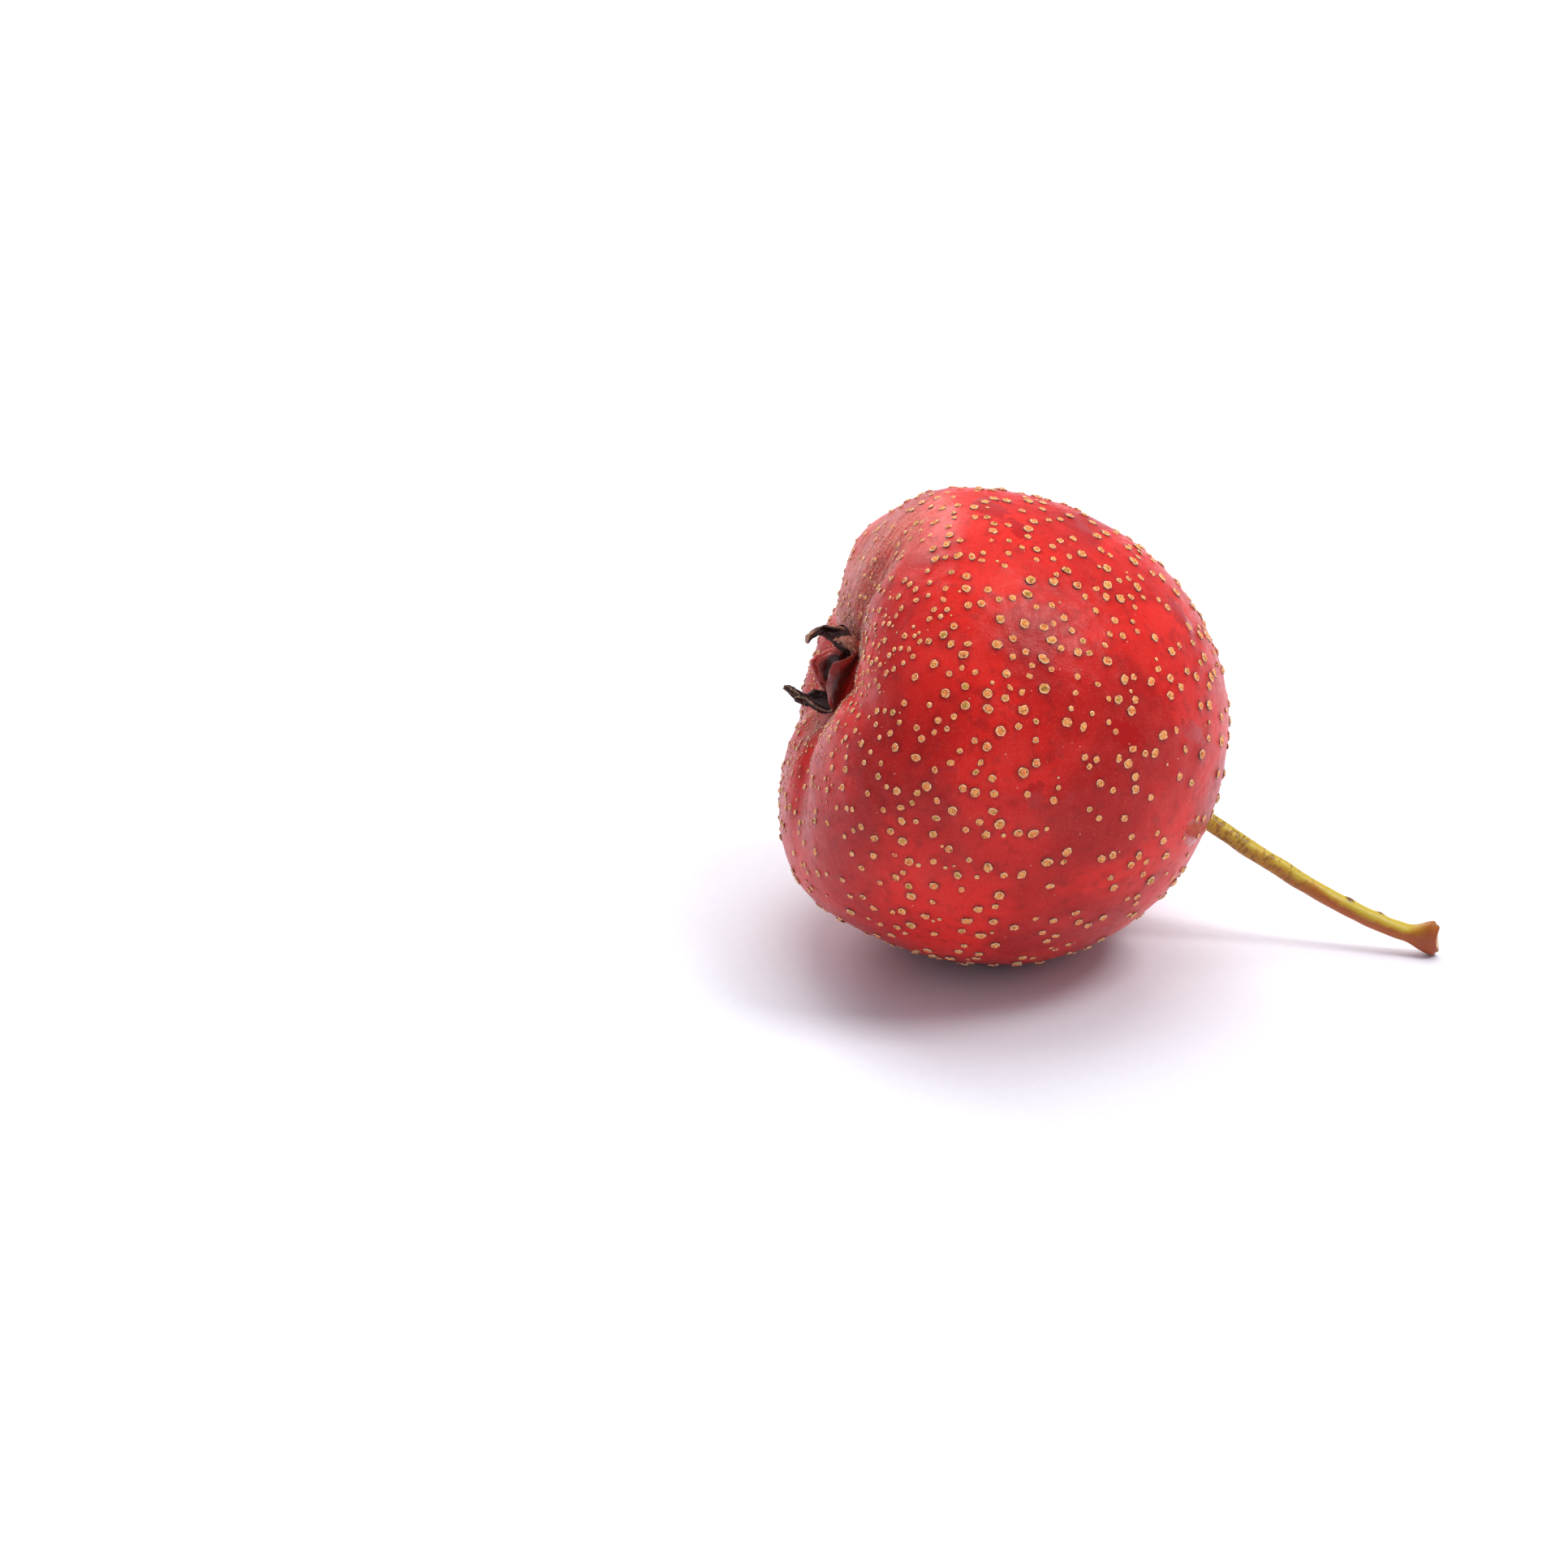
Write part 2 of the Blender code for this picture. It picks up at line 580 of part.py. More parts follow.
def make_stamens(parent):
    """The withered stamens: a pad with threads on it, joined into one body by a union."""
    draw = random.Random(THREAD_SEED)
    pad = bmesh.new()
    bridge_rings(pad, pad_rings())
    material = finish("withered_thread", THREAD_BROWN, 0.7)
    stamens = add_object("stamens", pad, material, parent)
    tuft = bpy.data.collections.new("threads")
    threads = []
    for index in range(THREADS):
        azimuth = 360.0 * index / THREADS + draw.uniform(-THREAD_TURN, THREAD_TURN)
        length = THREAD_LENGTH * draw.uniform(*THREAD_LENGTH_SPREAD)
        bend = draw.uniform(*THREAD_BEND)
        twist = draw.uniform(-THREAD_TWIST, THREAD_TWIST)
        shape = bmesh.new()
        bridge_rings(shape, thread_rings(azimuth, length, bend, twist))
        thread = add_object(f"thread_{index}", shape, material, parent)
        bpy.context.scene.collection.objects.unlink(thread)
        tuft.objects.link(thread)
        threads.append(thread)
    union = stamens.modifiers.new("join", "BOOLEAN")
    union.operation = "UNION"
    union.operand_type = "COLLECTION"
    union.collection = tuft
    union.solver = "EXACT"
    bpy.context.view_layer.update()
    joined = stamens.evaluated_get(bpy.context.evaluated_depsgraph_get())
    stamens.data = bpy.data.meshes.new_from_object(joined)
    stamens.modifiers.clear()
    for thread in threads:
        bpy.data.objects.remove(thread, do_unlink=True)
    bpy.data.collections.remove(tuft)
    return stamens


def centre_on_origin(pieces, holder):
    """Slide the whole berry so that the middle of its box stands over the origin."""
    bpy.context.view_layer.update()
    corners = [piece.matrix_world @ vertex.co for piece in pieces for vertex in piece.data.vertices]
    for axis in (0, 1):
        low = min(corner[axis] for corner in corners)
        high = max(corner[axis] for corner in corners)
        holder.location[axis] -= (low + high) / 2.0


def main():
    """Build the berry and set it down."""
    clear_scene()
    berry = empty("berry", None, (0.0, 0.0, REST_HEIGHT), (0.0, 0.0, 0.0))
    axis = empty("berry_axis", berry, (0.0, 0.0, 0.0), (0.0, math.radians(AXIS_DIP), 0.0))
    pieces = [make_fruit(axis), make_stem(berry), make_calyx(axis), make_stamens(axis)]
    centre_on_origin(pieces, berry)


main()
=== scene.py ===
"""A hawthorn berry lying on its side, dressed for a close look.

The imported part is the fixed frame. Each of its four nodes is replaced by finer pieces of the same
shape: the skin with its corky lenticels and its down, the stem, the dried calyx and the withered
stamens. Lengths in the classes are millimetres and angles are degrees. The berry's own axes have
their origin in the middle of its widest section and X along the core, from calyx to stem.
"""

import json
import logging
import math
import random
from collections.abc import Callable, Iterator, Sequence
from dataclasses import dataclass, field
from enum import Enum
from typing import Any

import bpy
import numpy as np
from mathutils import Matrix, Vector, noise


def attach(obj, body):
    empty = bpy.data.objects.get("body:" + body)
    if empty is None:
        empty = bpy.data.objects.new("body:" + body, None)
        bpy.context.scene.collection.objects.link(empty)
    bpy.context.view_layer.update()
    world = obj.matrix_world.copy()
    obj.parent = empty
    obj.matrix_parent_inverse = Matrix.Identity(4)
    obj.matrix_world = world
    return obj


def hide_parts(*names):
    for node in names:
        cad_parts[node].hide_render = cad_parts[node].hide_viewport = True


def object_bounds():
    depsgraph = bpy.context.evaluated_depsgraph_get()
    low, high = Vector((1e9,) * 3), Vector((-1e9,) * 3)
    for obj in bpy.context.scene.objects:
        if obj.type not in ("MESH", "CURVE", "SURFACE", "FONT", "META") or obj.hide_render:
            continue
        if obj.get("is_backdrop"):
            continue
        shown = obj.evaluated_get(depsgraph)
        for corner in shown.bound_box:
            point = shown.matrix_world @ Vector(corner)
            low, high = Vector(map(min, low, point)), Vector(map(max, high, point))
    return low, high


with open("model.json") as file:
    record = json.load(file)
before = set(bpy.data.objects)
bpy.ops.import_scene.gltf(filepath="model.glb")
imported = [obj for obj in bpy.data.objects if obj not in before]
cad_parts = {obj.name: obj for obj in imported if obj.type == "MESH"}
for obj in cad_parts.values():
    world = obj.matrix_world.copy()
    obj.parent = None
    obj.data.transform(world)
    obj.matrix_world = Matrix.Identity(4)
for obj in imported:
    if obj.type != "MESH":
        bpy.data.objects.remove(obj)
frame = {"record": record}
CAD_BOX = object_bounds()

MM = 0.001  # millimetres to Blender's metres
PER_MM = 1000.0  # a pattern's scale per metre, from repeats per millimetre
FULL_TURN = 6.28  # radians, near enough for a random turn
log = logging.getLogger("hawthorn_berry")
Piece = bpy.types.Object


# Shared tools


def linear(code: str) -> tuple[float, float, float, float]:
    """Turn an sRGB hex colour into linear light.

    Args:
        code: Six hex digits after a hash sign.

    Returns:
        Red, green, blue and an alpha of 1.
    """
    parts = (int(code[start : start + 2], 16) / 255.0 for start in (1, 3, 5))
    light = [part / 12.92 if part <= 0.04045 else ((part + 0.055) / 1.055) ** 2.4 for part in parts]
    return (*light, 1.0)


def deselect() -> None:
    """Leave nothing selected, so that an operator acts on the new piece alone."""
    bpy.ops.object.select_all(action="DESELECT")


def named(name: str) -> Piece:
    """Name the piece that an operator has just added, and return it."""
    piece = bpy.context.active_object
    piece.name = name
    piece.data.name = name
    return piece


def select_edges(piece: Piece, wanted: Callable[[Vector, Vector], bool]) -> None:
    """Open a piece in edit mode with only some edges selected.

    Args:
        piece: The piece, in object mode.
        wanted: Says for an edge's two ends whether it is selected.
    """
    bpy.ops.object.mode_set(mode="EDIT")
    bpy.ops.mesh.select_mode(type="EDGE")
    bpy.ops.mesh.select_all(action="DESELECT")
    bpy.ops.object.mode_set(mode="OBJECT")
    corners = piece.data.vertices
    for edge in piece.data.edges:
        edge.select = wanted(*(corners[index].co for index in edge.vertices))
    bpy.ops.object.mode_set(mode="EDIT")


def points_of(piece: Piece) -> np.ndarray:
    """The piece's vertices as an array with a row each."""
    values = np.zeros(len(piece.data.vertices) * 3)
    piece.data.vertices.foreach_get("co", values)
    return values.reshape(-1, 3)


def move_points(piece: Piece, points: np.ndarray) -> None:
    """Give every vertex of a piece its new place."""
    piece.data.vertices.foreach_set("co", points.ravel())
    piece.data.update()


def store(piece: Piece, name: str, values: np.ndarray) -> None:
    """Keep one number or three for each vertex, under a name that a material can read."""
    kind, key = ("FLOAT", "value") if values.ndim == 1 else ("FLOAT_VECTOR", "vector")
    layer = piece.data.attributes.get(name) or piece.data.attributes.new(name, kind, "POINT")
    layer.data.foreach_set(key, values.astype(np.float32).ravel())


def pick(*pieces: Piece) -> None:
    """Select only these pieces and make the first one active, so that an operator acts on them."""
    deselect()
    for piece in pieces:
        piece.select_set(True)
    bpy.context.view_layer.objects.active = pieces[0]


def apply_modifier(piece: Piece, kind: str, **settings: Any) -> None:
    """Add a modifier to a piece and apply it at once."""
    pick(piece)
    modifier = piece.modifiers.new(kind.lower(), kind)
    for name, value in settings.items():
        setattr(modifier, name, value)
    bpy.ops.object.modifier_apply(modifier=modifier.name)


def join(pieces: Sequence[Piece], name: str) -> Piece:
    """Join pieces into one and name it."""
    pick(*pieces)
    bpy.ops.object.join()
    return named(name)


def copy_of(model: Piece) -> Piece:
    """Copy a piece, with a mesh of its own."""
    piece = bpy.data.objects.new(model.name, model.data.copy())
    bpy.context.scene.collection.objects.link(piece)
    return piece


def make_rod(name: str, sides: int, cuts: int, ends: str = "NGON", top: float = 1.0) -> Piece:
    """Model an upright rod of radius 1 and height 1, cut across into short lengths.

    Args:
        name: The piece's name.
        sides: How many sides the rod has.
        cuts: How many cuts there are along it.
        ends: How its ends are filled.
        top: Radius of its upper end.

    Returns:
        The rod.
    """
    deselect()
    middle = (0.0, 0.0, 0.5)
    bpy.ops.mesh.primitive_cone_add(
        vertices=sides, radius1=1.0, radius2=top, depth=1.0, location=middle, end_fill_type=ends
    )
    piece = named(name)
    bpy.ops.object.transform_apply(location=True, rotation=True, scale=True)
    select_edges(piece, lambda first, second: abs(first.z - second.z) > 0.5)
    bpy.ops.mesh.subdivide(number_cuts=cuts)
    bpy.ops.object.mode_set(mode="OBJECT")
    return piece


def turn_outwards(piece: Piece) -> None:
    """Make all faces of closed shells point outwards."""
    pick(piece)
    bpy.ops.object.mode_set(mode="EDIT")
    bpy.ops.mesh.select_all(action="SELECT")
    bpy.ops.mesh.normals_make_consistent(inside=False)
    bpy.ops.object.mode_set(mode="OBJECT")


def dress(piece: Piece, material: bpy.types.Material, smooth: float = 60.0) -> None:
    """Shade a piece smooth up to an angle and give it its material."""
    pick(piece)
    bpy.ops.object.shade_smooth_by_angle(angle=math.radians(smooth))
    piece.data.materials.clear()
    piece.data.materials.append(material)


def smooth_step(low: float, high: float, value: Any) -> Any:
    """0 below low, 1 above high, and a smooth rise between them, for a number or an array."""
    share = np.clip((value - low) / (high - low), 0.0, 1.0)
    return share * share * (3.0 - 2.0 * share)


def bell(value: Any) -> Any:
    """1 at 0, with a smooth fall to 0 on both sides, for a number or an array."""
    return np.exp(-(value**2))


def unit(rows: np.ndarray) -> np.ndarray:
    """Each row of an array at length 1."""
    return rows / np.linalg.norm(rows, axis=-1, keepdims=True)


def spokes(azimuth: Any) -> np.ndarray:
    """Unit vectors square to the berry's core, at azimuths in degrees."""
    turn = np.radians(np.asarray(azimuth, float))
    return np.stack([np.zeros_like(turn), np.cos(turn), np.sin(turn)], axis=-1)


def direction_at(polar: Any, azimuth: Any) -> np.ndarray:
    """Unit vectors at angles in degrees from the calyx end and round the core."""
    slope = np.radians(polar)
    return spokes(azimuth) * np.sin(slope) + np.array([-np.cos(slope), 0.0, 0.0])


def apart(first: Any, second: float) -> Any:
    """The smaller angle between two azimuths in degrees."""
    return np.abs((first - second + 180.0) % 360.0 - 180.0)


def grain(points: np.ndarray, size: float, seed: float) -> np.ndarray:
    """Smooth seeded noise at points, between about -1 and 1, with lumps of a given size."""
    shift = Vector((seed, 2.0 * seed, 3.0 * seed))
    return np.array([noise.noise(Vector(point) / size + shift) for point in points])


# The berry's form, as the solids have it


@dataclass(frozen=True)
class Lie:
    """How the berry lies: its core dips towards the stem, and its belly rests on the surface."""

    dip: float = 22.0
    rest_height: float = 12.65
    calyx_offset: float = 0.4
    calyx_offset_azimuth: float = 64.0

    def calyx_centre(self) -> np.ndarray:
        """How far the calyx stands off the core, on the berry's own axes."""
        return spokes(self.calyx_offset_azimuth) * self.calyx_offset

    def origin(self) -> np.ndarray:
        """The berry's origin in millimetres, straight above the mount that it rests on."""
        rest = next(mount for mount in frame["record"]["mounts"] if mount["name"] == "rest")
        return np.array([rest["pos_m"][0] / MM, rest["pos_m"][1] / MM, self.rest_height])

    def turn(self) -> np.ndarray:
        """The turn from the berry's own axes to the way it lies."""
        return np.array(Matrix.Rotation(math.radians(self.dip), 3, "Y"))

    def level(self, points: np.ndarray) -> np.ndarray:
        """Move points round the berry's origin, on level axes, to the frame in metres."""
        return (np.asarray(points) + self.origin()) * MM

    def place(self, points: np.ndarray) -> np.ndarray:
        """Move points on the berry's own axes to the frame in metres."""
        return self.level(np.asarray(points) @ self.turn().T)


@dataclass(frozen=True)
class SkinForm:
    """The skin's shape as a distance from the berry's origin, in any direction."""

    girth_radius: float = 12.8
    calyx_reach: float = 9.6
    stem_reach: float = 13.35
    calyx_fullness: float = 1.2
    stem_fullness: float = 0.1
    # Depth, spread and power of the hollows at the calyx and at the stem
    basin: tuple[float, float, float] = (1.6, 20.0, 3.0)
    cavity: tuple[float, float, float] = (2.6, 12.0, 1.5)
    # Azimuth and depth of each groove
    grooves: tuple[tuple[float, float], ...] = (
        (22.0, 0.55),
        (91.0, 1.0),
        (166.0, 0.5),
        (238.0, 0.6),
        (310.0, 0.5),
    )
    groove_half_width: float = 11.0
    groove_polar: float = 31.0
    groove_spread: float = 16.0
    # Height, waves round the core, waves along it, and phase of each slow swell
    swells: tuple[tuple[float, int, float, float], ...] = (
        (0.11, 2, 1.0, 0.4),
        (0.09, 3, 2.0, 2.1),
        (0.06, 5, 3.0, 4.0),
    )
    # Azimuth, height, half width, polar angle and spread of each shoulder beside the calyx
    shoulders: tuple[tuple[float, float, float, float, float], ...] = (
        (343.0, -1.06, 39.0, 43.5, 13.2),
        (38.0, 0.5, 13.0, 47.0, 11.0),
        (135.0, -0.5, 40.0, 22.0, 9.0),
    )

    @staticmethod
    def polar(directions: np.ndarray) -> np.ndarray:
        """Angle from the calyx end, in degrees."""
        across = np.hypot(directions[..., 1], directions[..., 2])
        return np.degrees(np.arctan2(across, -directions[..., 0]))

    @staticmethod
    def azimuth(directions: np.ndarray) -> np.ndarray:
        """Angle round the core from Y towards Z, in degrees."""
        return np.degrees(np.arctan2(directions[..., 2], directions[..., 1]))

    def grooving(self, directions: np.ndarray) -> np.ndarray:
        """How deep the five grooves are in each direction, in millimetres."""
        fade = bell((self.polar(directions) - self.groove_polar) / self.groove_spread)
        azimuth = self.azimuth(directions)
        return sum(
            depth * fade * bell(apart(azimuth, place) / self.groove_half_width)
            for place, depth in self.grooves
        )

    def radii(self, directions: np.ndarray) -> np.ndarray:
        """Distance from the origin to the skin along unit directions.

        Args:
            directions: Unit vectors on the berry's own axes, one a row.

        Returns:
            A distance for each row, in millimetres.
        """
        towards = -directions[..., 0]
        across = np.hypot(directions[..., 1], directions[..., 2])
        polar, azimuth = self.polar(directions), self.azimuth(directions)
        reach = np.where(towards > 0.0, self.calyx_reach, self.stem_reach)
        power = np.where(
            towards > 0.0,
            2.0 + self.calyx_fullness * np.minimum(1.0, 2.0 * towards),
            2.0 - self.stem_fullness * np.maximum(-1.0, 2.0 * towards),
        )
        roundness = (across / self.girth_radius) ** power + (np.abs(towards) / reach) ** power
        radii = roundness ** (-1.0 / power)
        for (depth, spread, steep), angle in ((self.basin, polar), (self.cavity, 180.0 - polar)):
            radii = radii - depth * np.exp(-((np.maximum(angle, 0.0) / spread) ** steep))
        radii = radii - self.grooving(directions)
        for height, around, along, phase in self.swells:
            wave = np.sin(around * np.radians(azimuth) + phase) * np.sin(along * np.radians(polar))
            radii = radii + height * wave * across**2
        for place, height, half_width, middle, spread in self.shoulders:
            ridge = (apart(azimuth, place) / half_width) ** 2 + ((polar - middle) / spread) ** 2
            radii = radii + height * np.exp(-ridge)
        return radii

    def point(self, direction: np.ndarray) -> np.ndarray:
        """Point of the skin along a unit direction."""
        return direction * self.radii(direction[None])[0]

    def frame_at(self, direction: np.ndarray) -> tuple[np.ndarray, np.ndarray, np.ndarray, np.ndarray]:
        """The skin's point in a direction, two unit vectors along the skin there, and its normal."""
        step = 0.01
        side = unit(np.cross(direction, (1.0, 0.0, 0.0)))
        point = self.point(direction)
        along = unit(self.point(unit(direction + side * step)) - point)
        across = self.point(unit(direction + np.cross(direction, side) * step)) - point
        across = unit(across - along * (across @ along))
        normal = np.cross(along, across)
        return point, along, across, normal * np.sign(normal @ direction)

    def wrap(self, direction: np.ndarray, flat: np.ndarray) -> np.ndarray:
        """Lay a flat pattern on the skin.

        Args:
            direction: Where the pattern's origin comes.
            flat: Points with X and Y along the skin and Z above it.

        Returns:
            The points on the berry's own axes.
        """
        point, along, across, normal = self.frame_at(direction)
        ways = unit(point + np.outer(flat[:, 0], along) + np.outer(flat[:, 1], across))
        return ways * self.radii(ways)[:, None] + np.outer(flat[:, 2], normal)


@dataclass(frozen=True)
class Wart:
    """One lenticel: where it stands, its angle from the calyx end, and the radius of its foot."""

    direction: np.ndarray
    polar: float
    radius: float


class Stand:
    """The lenticels that have found room."""

    def __init__(self, form: SkinForm) -> None:
        """Start with bare skin."""
        self.form = form
        self.warts: list[Wart] = []
        self.centres, self.radii = np.zeros((0, 3)), np.zeros(0)

    def add(self, wart: Wart, room: float) -> None:
        """Keep a lenticel if it has elbow room from all the others."""
        centre = self.form.point(wart.direction)
        if np.all(np.linalg.norm(self.centres - centre, axis=1) > room + wart.radius + self.radii):
            self.warts.append(wart)
            self.centres = np.vstack([self.centres, centre])
            self.radii = np.append(self.radii, wart.radius)


@dataclass(frozen=True)
class LenticelRule:
    """The seeded rule for the lenticels: the solid's own, then gatherings too close for it."""

    form: SkinForm
    lie: Lie
    seed: int = 27
    tries: int = 1350
    small_zone: float = 30.0
    large_zone: float = 75.0
    bare_calyx_zone: float = 20.5
    bare_stem_zone: float = 170.0
    rest_clear_radius: float = 3.5
    small_radius: float = 0.13
    growth: float = 0.125
    spread: tuple[float, float] = (0.72, 1.35)
    elbow: tuple[float, float] = (0.1, 0.8)
    crowding: float = 0.5  # of the elbow room, where the lenticels are smallest
    twin_share: float = 0.1
    twin_gap: float = 0.05
    # Polar angle, azimuth, spread and tries of each gathering
    crowds: tuple[tuple[float, float, float, int], ...] = (
        (82.0, 130.0, 20.0, 150),
        (62.0, 140.0, 16.0, 110),
        (66.0, 104.0, 14.0, 60),
        (66.0, 190.0, 14.0, 80),
        (84.0, 20.0, 30.0, 120),
        (96.0, 290.0, 34.0, 130),
        (130.0, 90.0, 24.0, 80),
    )
    crowd_room: float = 0.14
    crowd_calyx_zone: float = 28.5
    crowd_rest_cosine: float = 0.93  # of the angle from the lowest point, at the nearest

    def lowest(self) -> np.ndarray:
        """Direction of the berry's lowest point."""
        return self.lie.turn().T @ np.array([0.0, 0.0, -1.0])

    def growing(self, polar: float) -> tuple[float, float]:
        """How well lenticels grow at an angle from the calyx end, and their usual radius there."""
        share = min(1.0, max(0.0, (polar - self.small_zone) / (self.large_zone - self.small_zone)))
        return share, self.small_radius + self.growth * share

    def beside(self, partner: Wart, radius: float, heading: float) -> np.ndarray:
        """Direction of a lenticel that all but touches its partner, on a heading in degrees."""
        side = unit(np.cross(partner.direction, (1.0, 0.0, 0.0)))
        other = np.cross(partner.direction, side)
        tangent = side * math.cos(math.radians(heading)) + other * math.sin(math.radians(heading))
        distance = np.linalg.norm(self.form.point(partner.direction))
        reach = (partner.radius + radius + 2.0 * self.twin_gap) / distance
        return unit(partner.direction + tangent * reach)

    def scatter(self, stand: Stand) -> None:
        """Draw the solid's lenticels, in the solid's order."""
        draw, lowest = random.Random(self.seed), self.lowest()
        for _ in range(self.tries):
            axial = draw.uniform(-1.0, 1.0)
            direction = spokes(draw.uniform(0.0, 360.0)) * math.sqrt(1.0 - axial * axial)
            direction[0] = axial
            growth, elbow = draw.uniform(*self.spread), draw.uniform(*self.elbow)
            twin, heading = draw.random() < self.twin_share, draw.uniform(0.0, 360.0)
            partner = stand.warts[-1] if twin and stand.warts else None
            polar = partner.polar if partner else math.degrees(math.acos(-axial))
            share, radius = self.growing(polar)
            radius *= growth
            room = elbow * (self.crowding + (1.0 - self.crowding) * share)
            if partner:
                direction = self.beside(partner, radius, heading)
                polar, room = math.degrees(math.acos(-direction[0])), self.twin_gap
            if not self.bare_calyx_zone < polar < self.bare_stem_zone:
                continue
            from_rest = math.acos(max(-1.0, min(1.0, direction @ lowest)))
            from_rest *= float(np.linalg.norm(self.form.point(direction)))
            if from_rest >= self.rest_clear_radius + radius:
                stand.add(Wart(direction, polar, radius), room)

    def gather(self, stand: Stand) -> None:
        """Add the gatherings."""
        draw, lowest = random.Random(self.seed + 1), self.lowest()
        for middle, azimuth, spread, tries in self.crowds:
            for _ in range(tries):
                polar = draw.gauss(middle, spread)
                turn = draw.gauss(azimuth, spread / math.sin(math.radians(middle)))
                direction = direction_at(polar, turn)
                radius = self.growing(polar)[1] * draw.uniform(*self.spread)
                inside = self.crowd_calyx_zone < polar < self.bare_stem_zone
                if inside and direction @ lowest <= self.crowd_rest_cosine:
                    stand.add(Wart(direction, polar, radius), self.crowd_room)

    def warts(self) -> list[Wart]:
        """All the lenticels, the solid's own first."""
        stand = Stand(self.form)
        self.scatter(stand)
        self.gather(stand)
        return stand.warts


# Finishes


@dataclass(frozen=True)
class Value:
    """A number or colour that a material works out. Reckoning with it adds maths nodes."""

    tree: bpy.types.NodeTree
    socket: bpy.types.NodeSocket

    def __add__(self, other: Any) -> "Value":
        """The sum of both."""
        return add_node(self.tree, "Math", 0, {0: self, 1: other}, operation="ADD")

    def __mul__(self, other: Any) -> "Value":
        """The product of both."""
        return add_node(self.tree, "Math", 0, {0: self, 1: other}, operation="MULTIPLY")

    def __rsub__(self, other: float) -> "Value":
        """What this leaves of a number."""
        return add_node(self.tree, "Math", 0, {0: other, 1: self}, operation="SUBTRACT")

    def or_more(self, other: Any) -> "Value":
        """The larger of both."""
        return add_node(self.tree, "Math", 0, {0: self, 1: other}, operation="MAXIMUM")

    def band(self, low: float, high: float, top: float = 1.0) -> "Value":
        """Bring the value between two limits to a share from 0 to top, smoothly."""
        limits = {"Value": self, "From Min": low, "From Max": high, "To Max": top}
        return add_node(self.tree, "MapRange", 0, limits, interpolation_type="SMOOTHSTEP")


def feed(node: bpy.types.Node, inputs: dict[str | int, Any]) -> None:
    """Set a node's inputs, by name or number, or link those that are worked out."""
    for key, value in inputs.items():
        if isinstance(value, Value):
            value.tree.links.new(value.socket, node.inputs[key])
        else:
            node.inputs[key].default_value = value


def add_node(
    tree: bpy.types.NodeTree,
    kind: str,
    output: str | int,
    inputs: dict[str | int, Any] | None = None,
    ramp: Sequence[tuple[float, str]] = (),
    **settings: Any,
) -> Value:
    """Add a node with its settings and links.

    Args:
        tree: The node tree.
        kind: The node's type name, less the ShaderNode in front.
        output: Name or number of the output that is wanted.
        inputs: Value of each input by name or number.
        ramp: Stops of a colour ramp in order, as place and hex colour.
        settings: The node's own properties.

    Returns:
        The wanted output.
    """
    made = tree.nodes.new(f"ShaderNode{kind}")
    for name, value in settings.items():
        setattr(made, name, value)
    feed(made, inputs or {})
    for index, (place, code) in enumerate(ramp):
        stops = made.color_ramp.elements
        stop = stops[index] if index < 2 else stops.new(place)
        stop.position = place
        stop.color = linear(code)
    return Value(tree, made.outputs[output])


class Paint:
    """The means of a finish: a material's tree and shader, and the piece's own coordinates."""

    def __init__(self, material: bpy.types.Material) -> None:
        """Start on a new material."""
        material.use_nodes = True
        self.tree = material.node_tree
        self.shader = self.tree.nodes["Principled BSDF"]
        self.place = add_node(self.tree, "TexCoord", "Object")

    def read(self, name: str, output: str = "Fac") -> Value:
        """Read what the piece keeps for each vertex under a name."""
        return add_node(self.tree, "Attribute", output, attribute_name=name)

    def speckle(self, size: float, detail: float = 3.0, distortion: float = 0.0) -> Value:
        """Noise with lumps of a size in millimetres, from 0 to 1."""
        inputs = {"Vector": self.place, "Scale": PER_MM / size, "Detail": detail}
        return add_node(self.tree, "TexNoise", "Fac", {**inputs, "Distortion": distortion})

    def mix(self, share: Value, first: str | Value, second: str | Value) -> Value:
        """Mix two colours, hex codes or worked out, by a share of the second."""
        colours = [linear(colour) if isinstance(colour, str) else colour for colour in (first, second)]
        return add_node(self.tree, "Mix", 2, {0: share, 6: colours[0], 7: colours[1]}, data_type="RGBA")

    def finish(self, inputs: dict[str, Any], *reliefs: tuple[Value, float, float]) -> None:
        """Feed the shader.

        Args:
            inputs: What goes into each of its sockets.
            reliefs: Height, strength and depth in millimetres of each bump, one upon the other.
        """
        normal: dict[str, Value] = {}
        for height, strength, depth in reliefs:
            bump = {"Height": height, "Strength": strength, "Distance": depth * MM, **normal}
            normal = {"Normal": add_node(self.tree, "Bump", "Normal", bump)}
        feed(self.shader, inputs | normal)


@dataclass(frozen=True)
class Finish:
    """What all finishes share: a name, and the way they become a material."""

    name: str

    def make(self) -> bpy.types.Material:
        """Build the material."""
        material = bpy.data.materials.new(self.name)
        self.apply(Paint(material))
        return material

    def apply(self, paint: Paint) -> None:
        """Work the finish out; each kind has its own way."""
        raise NotImplementedError


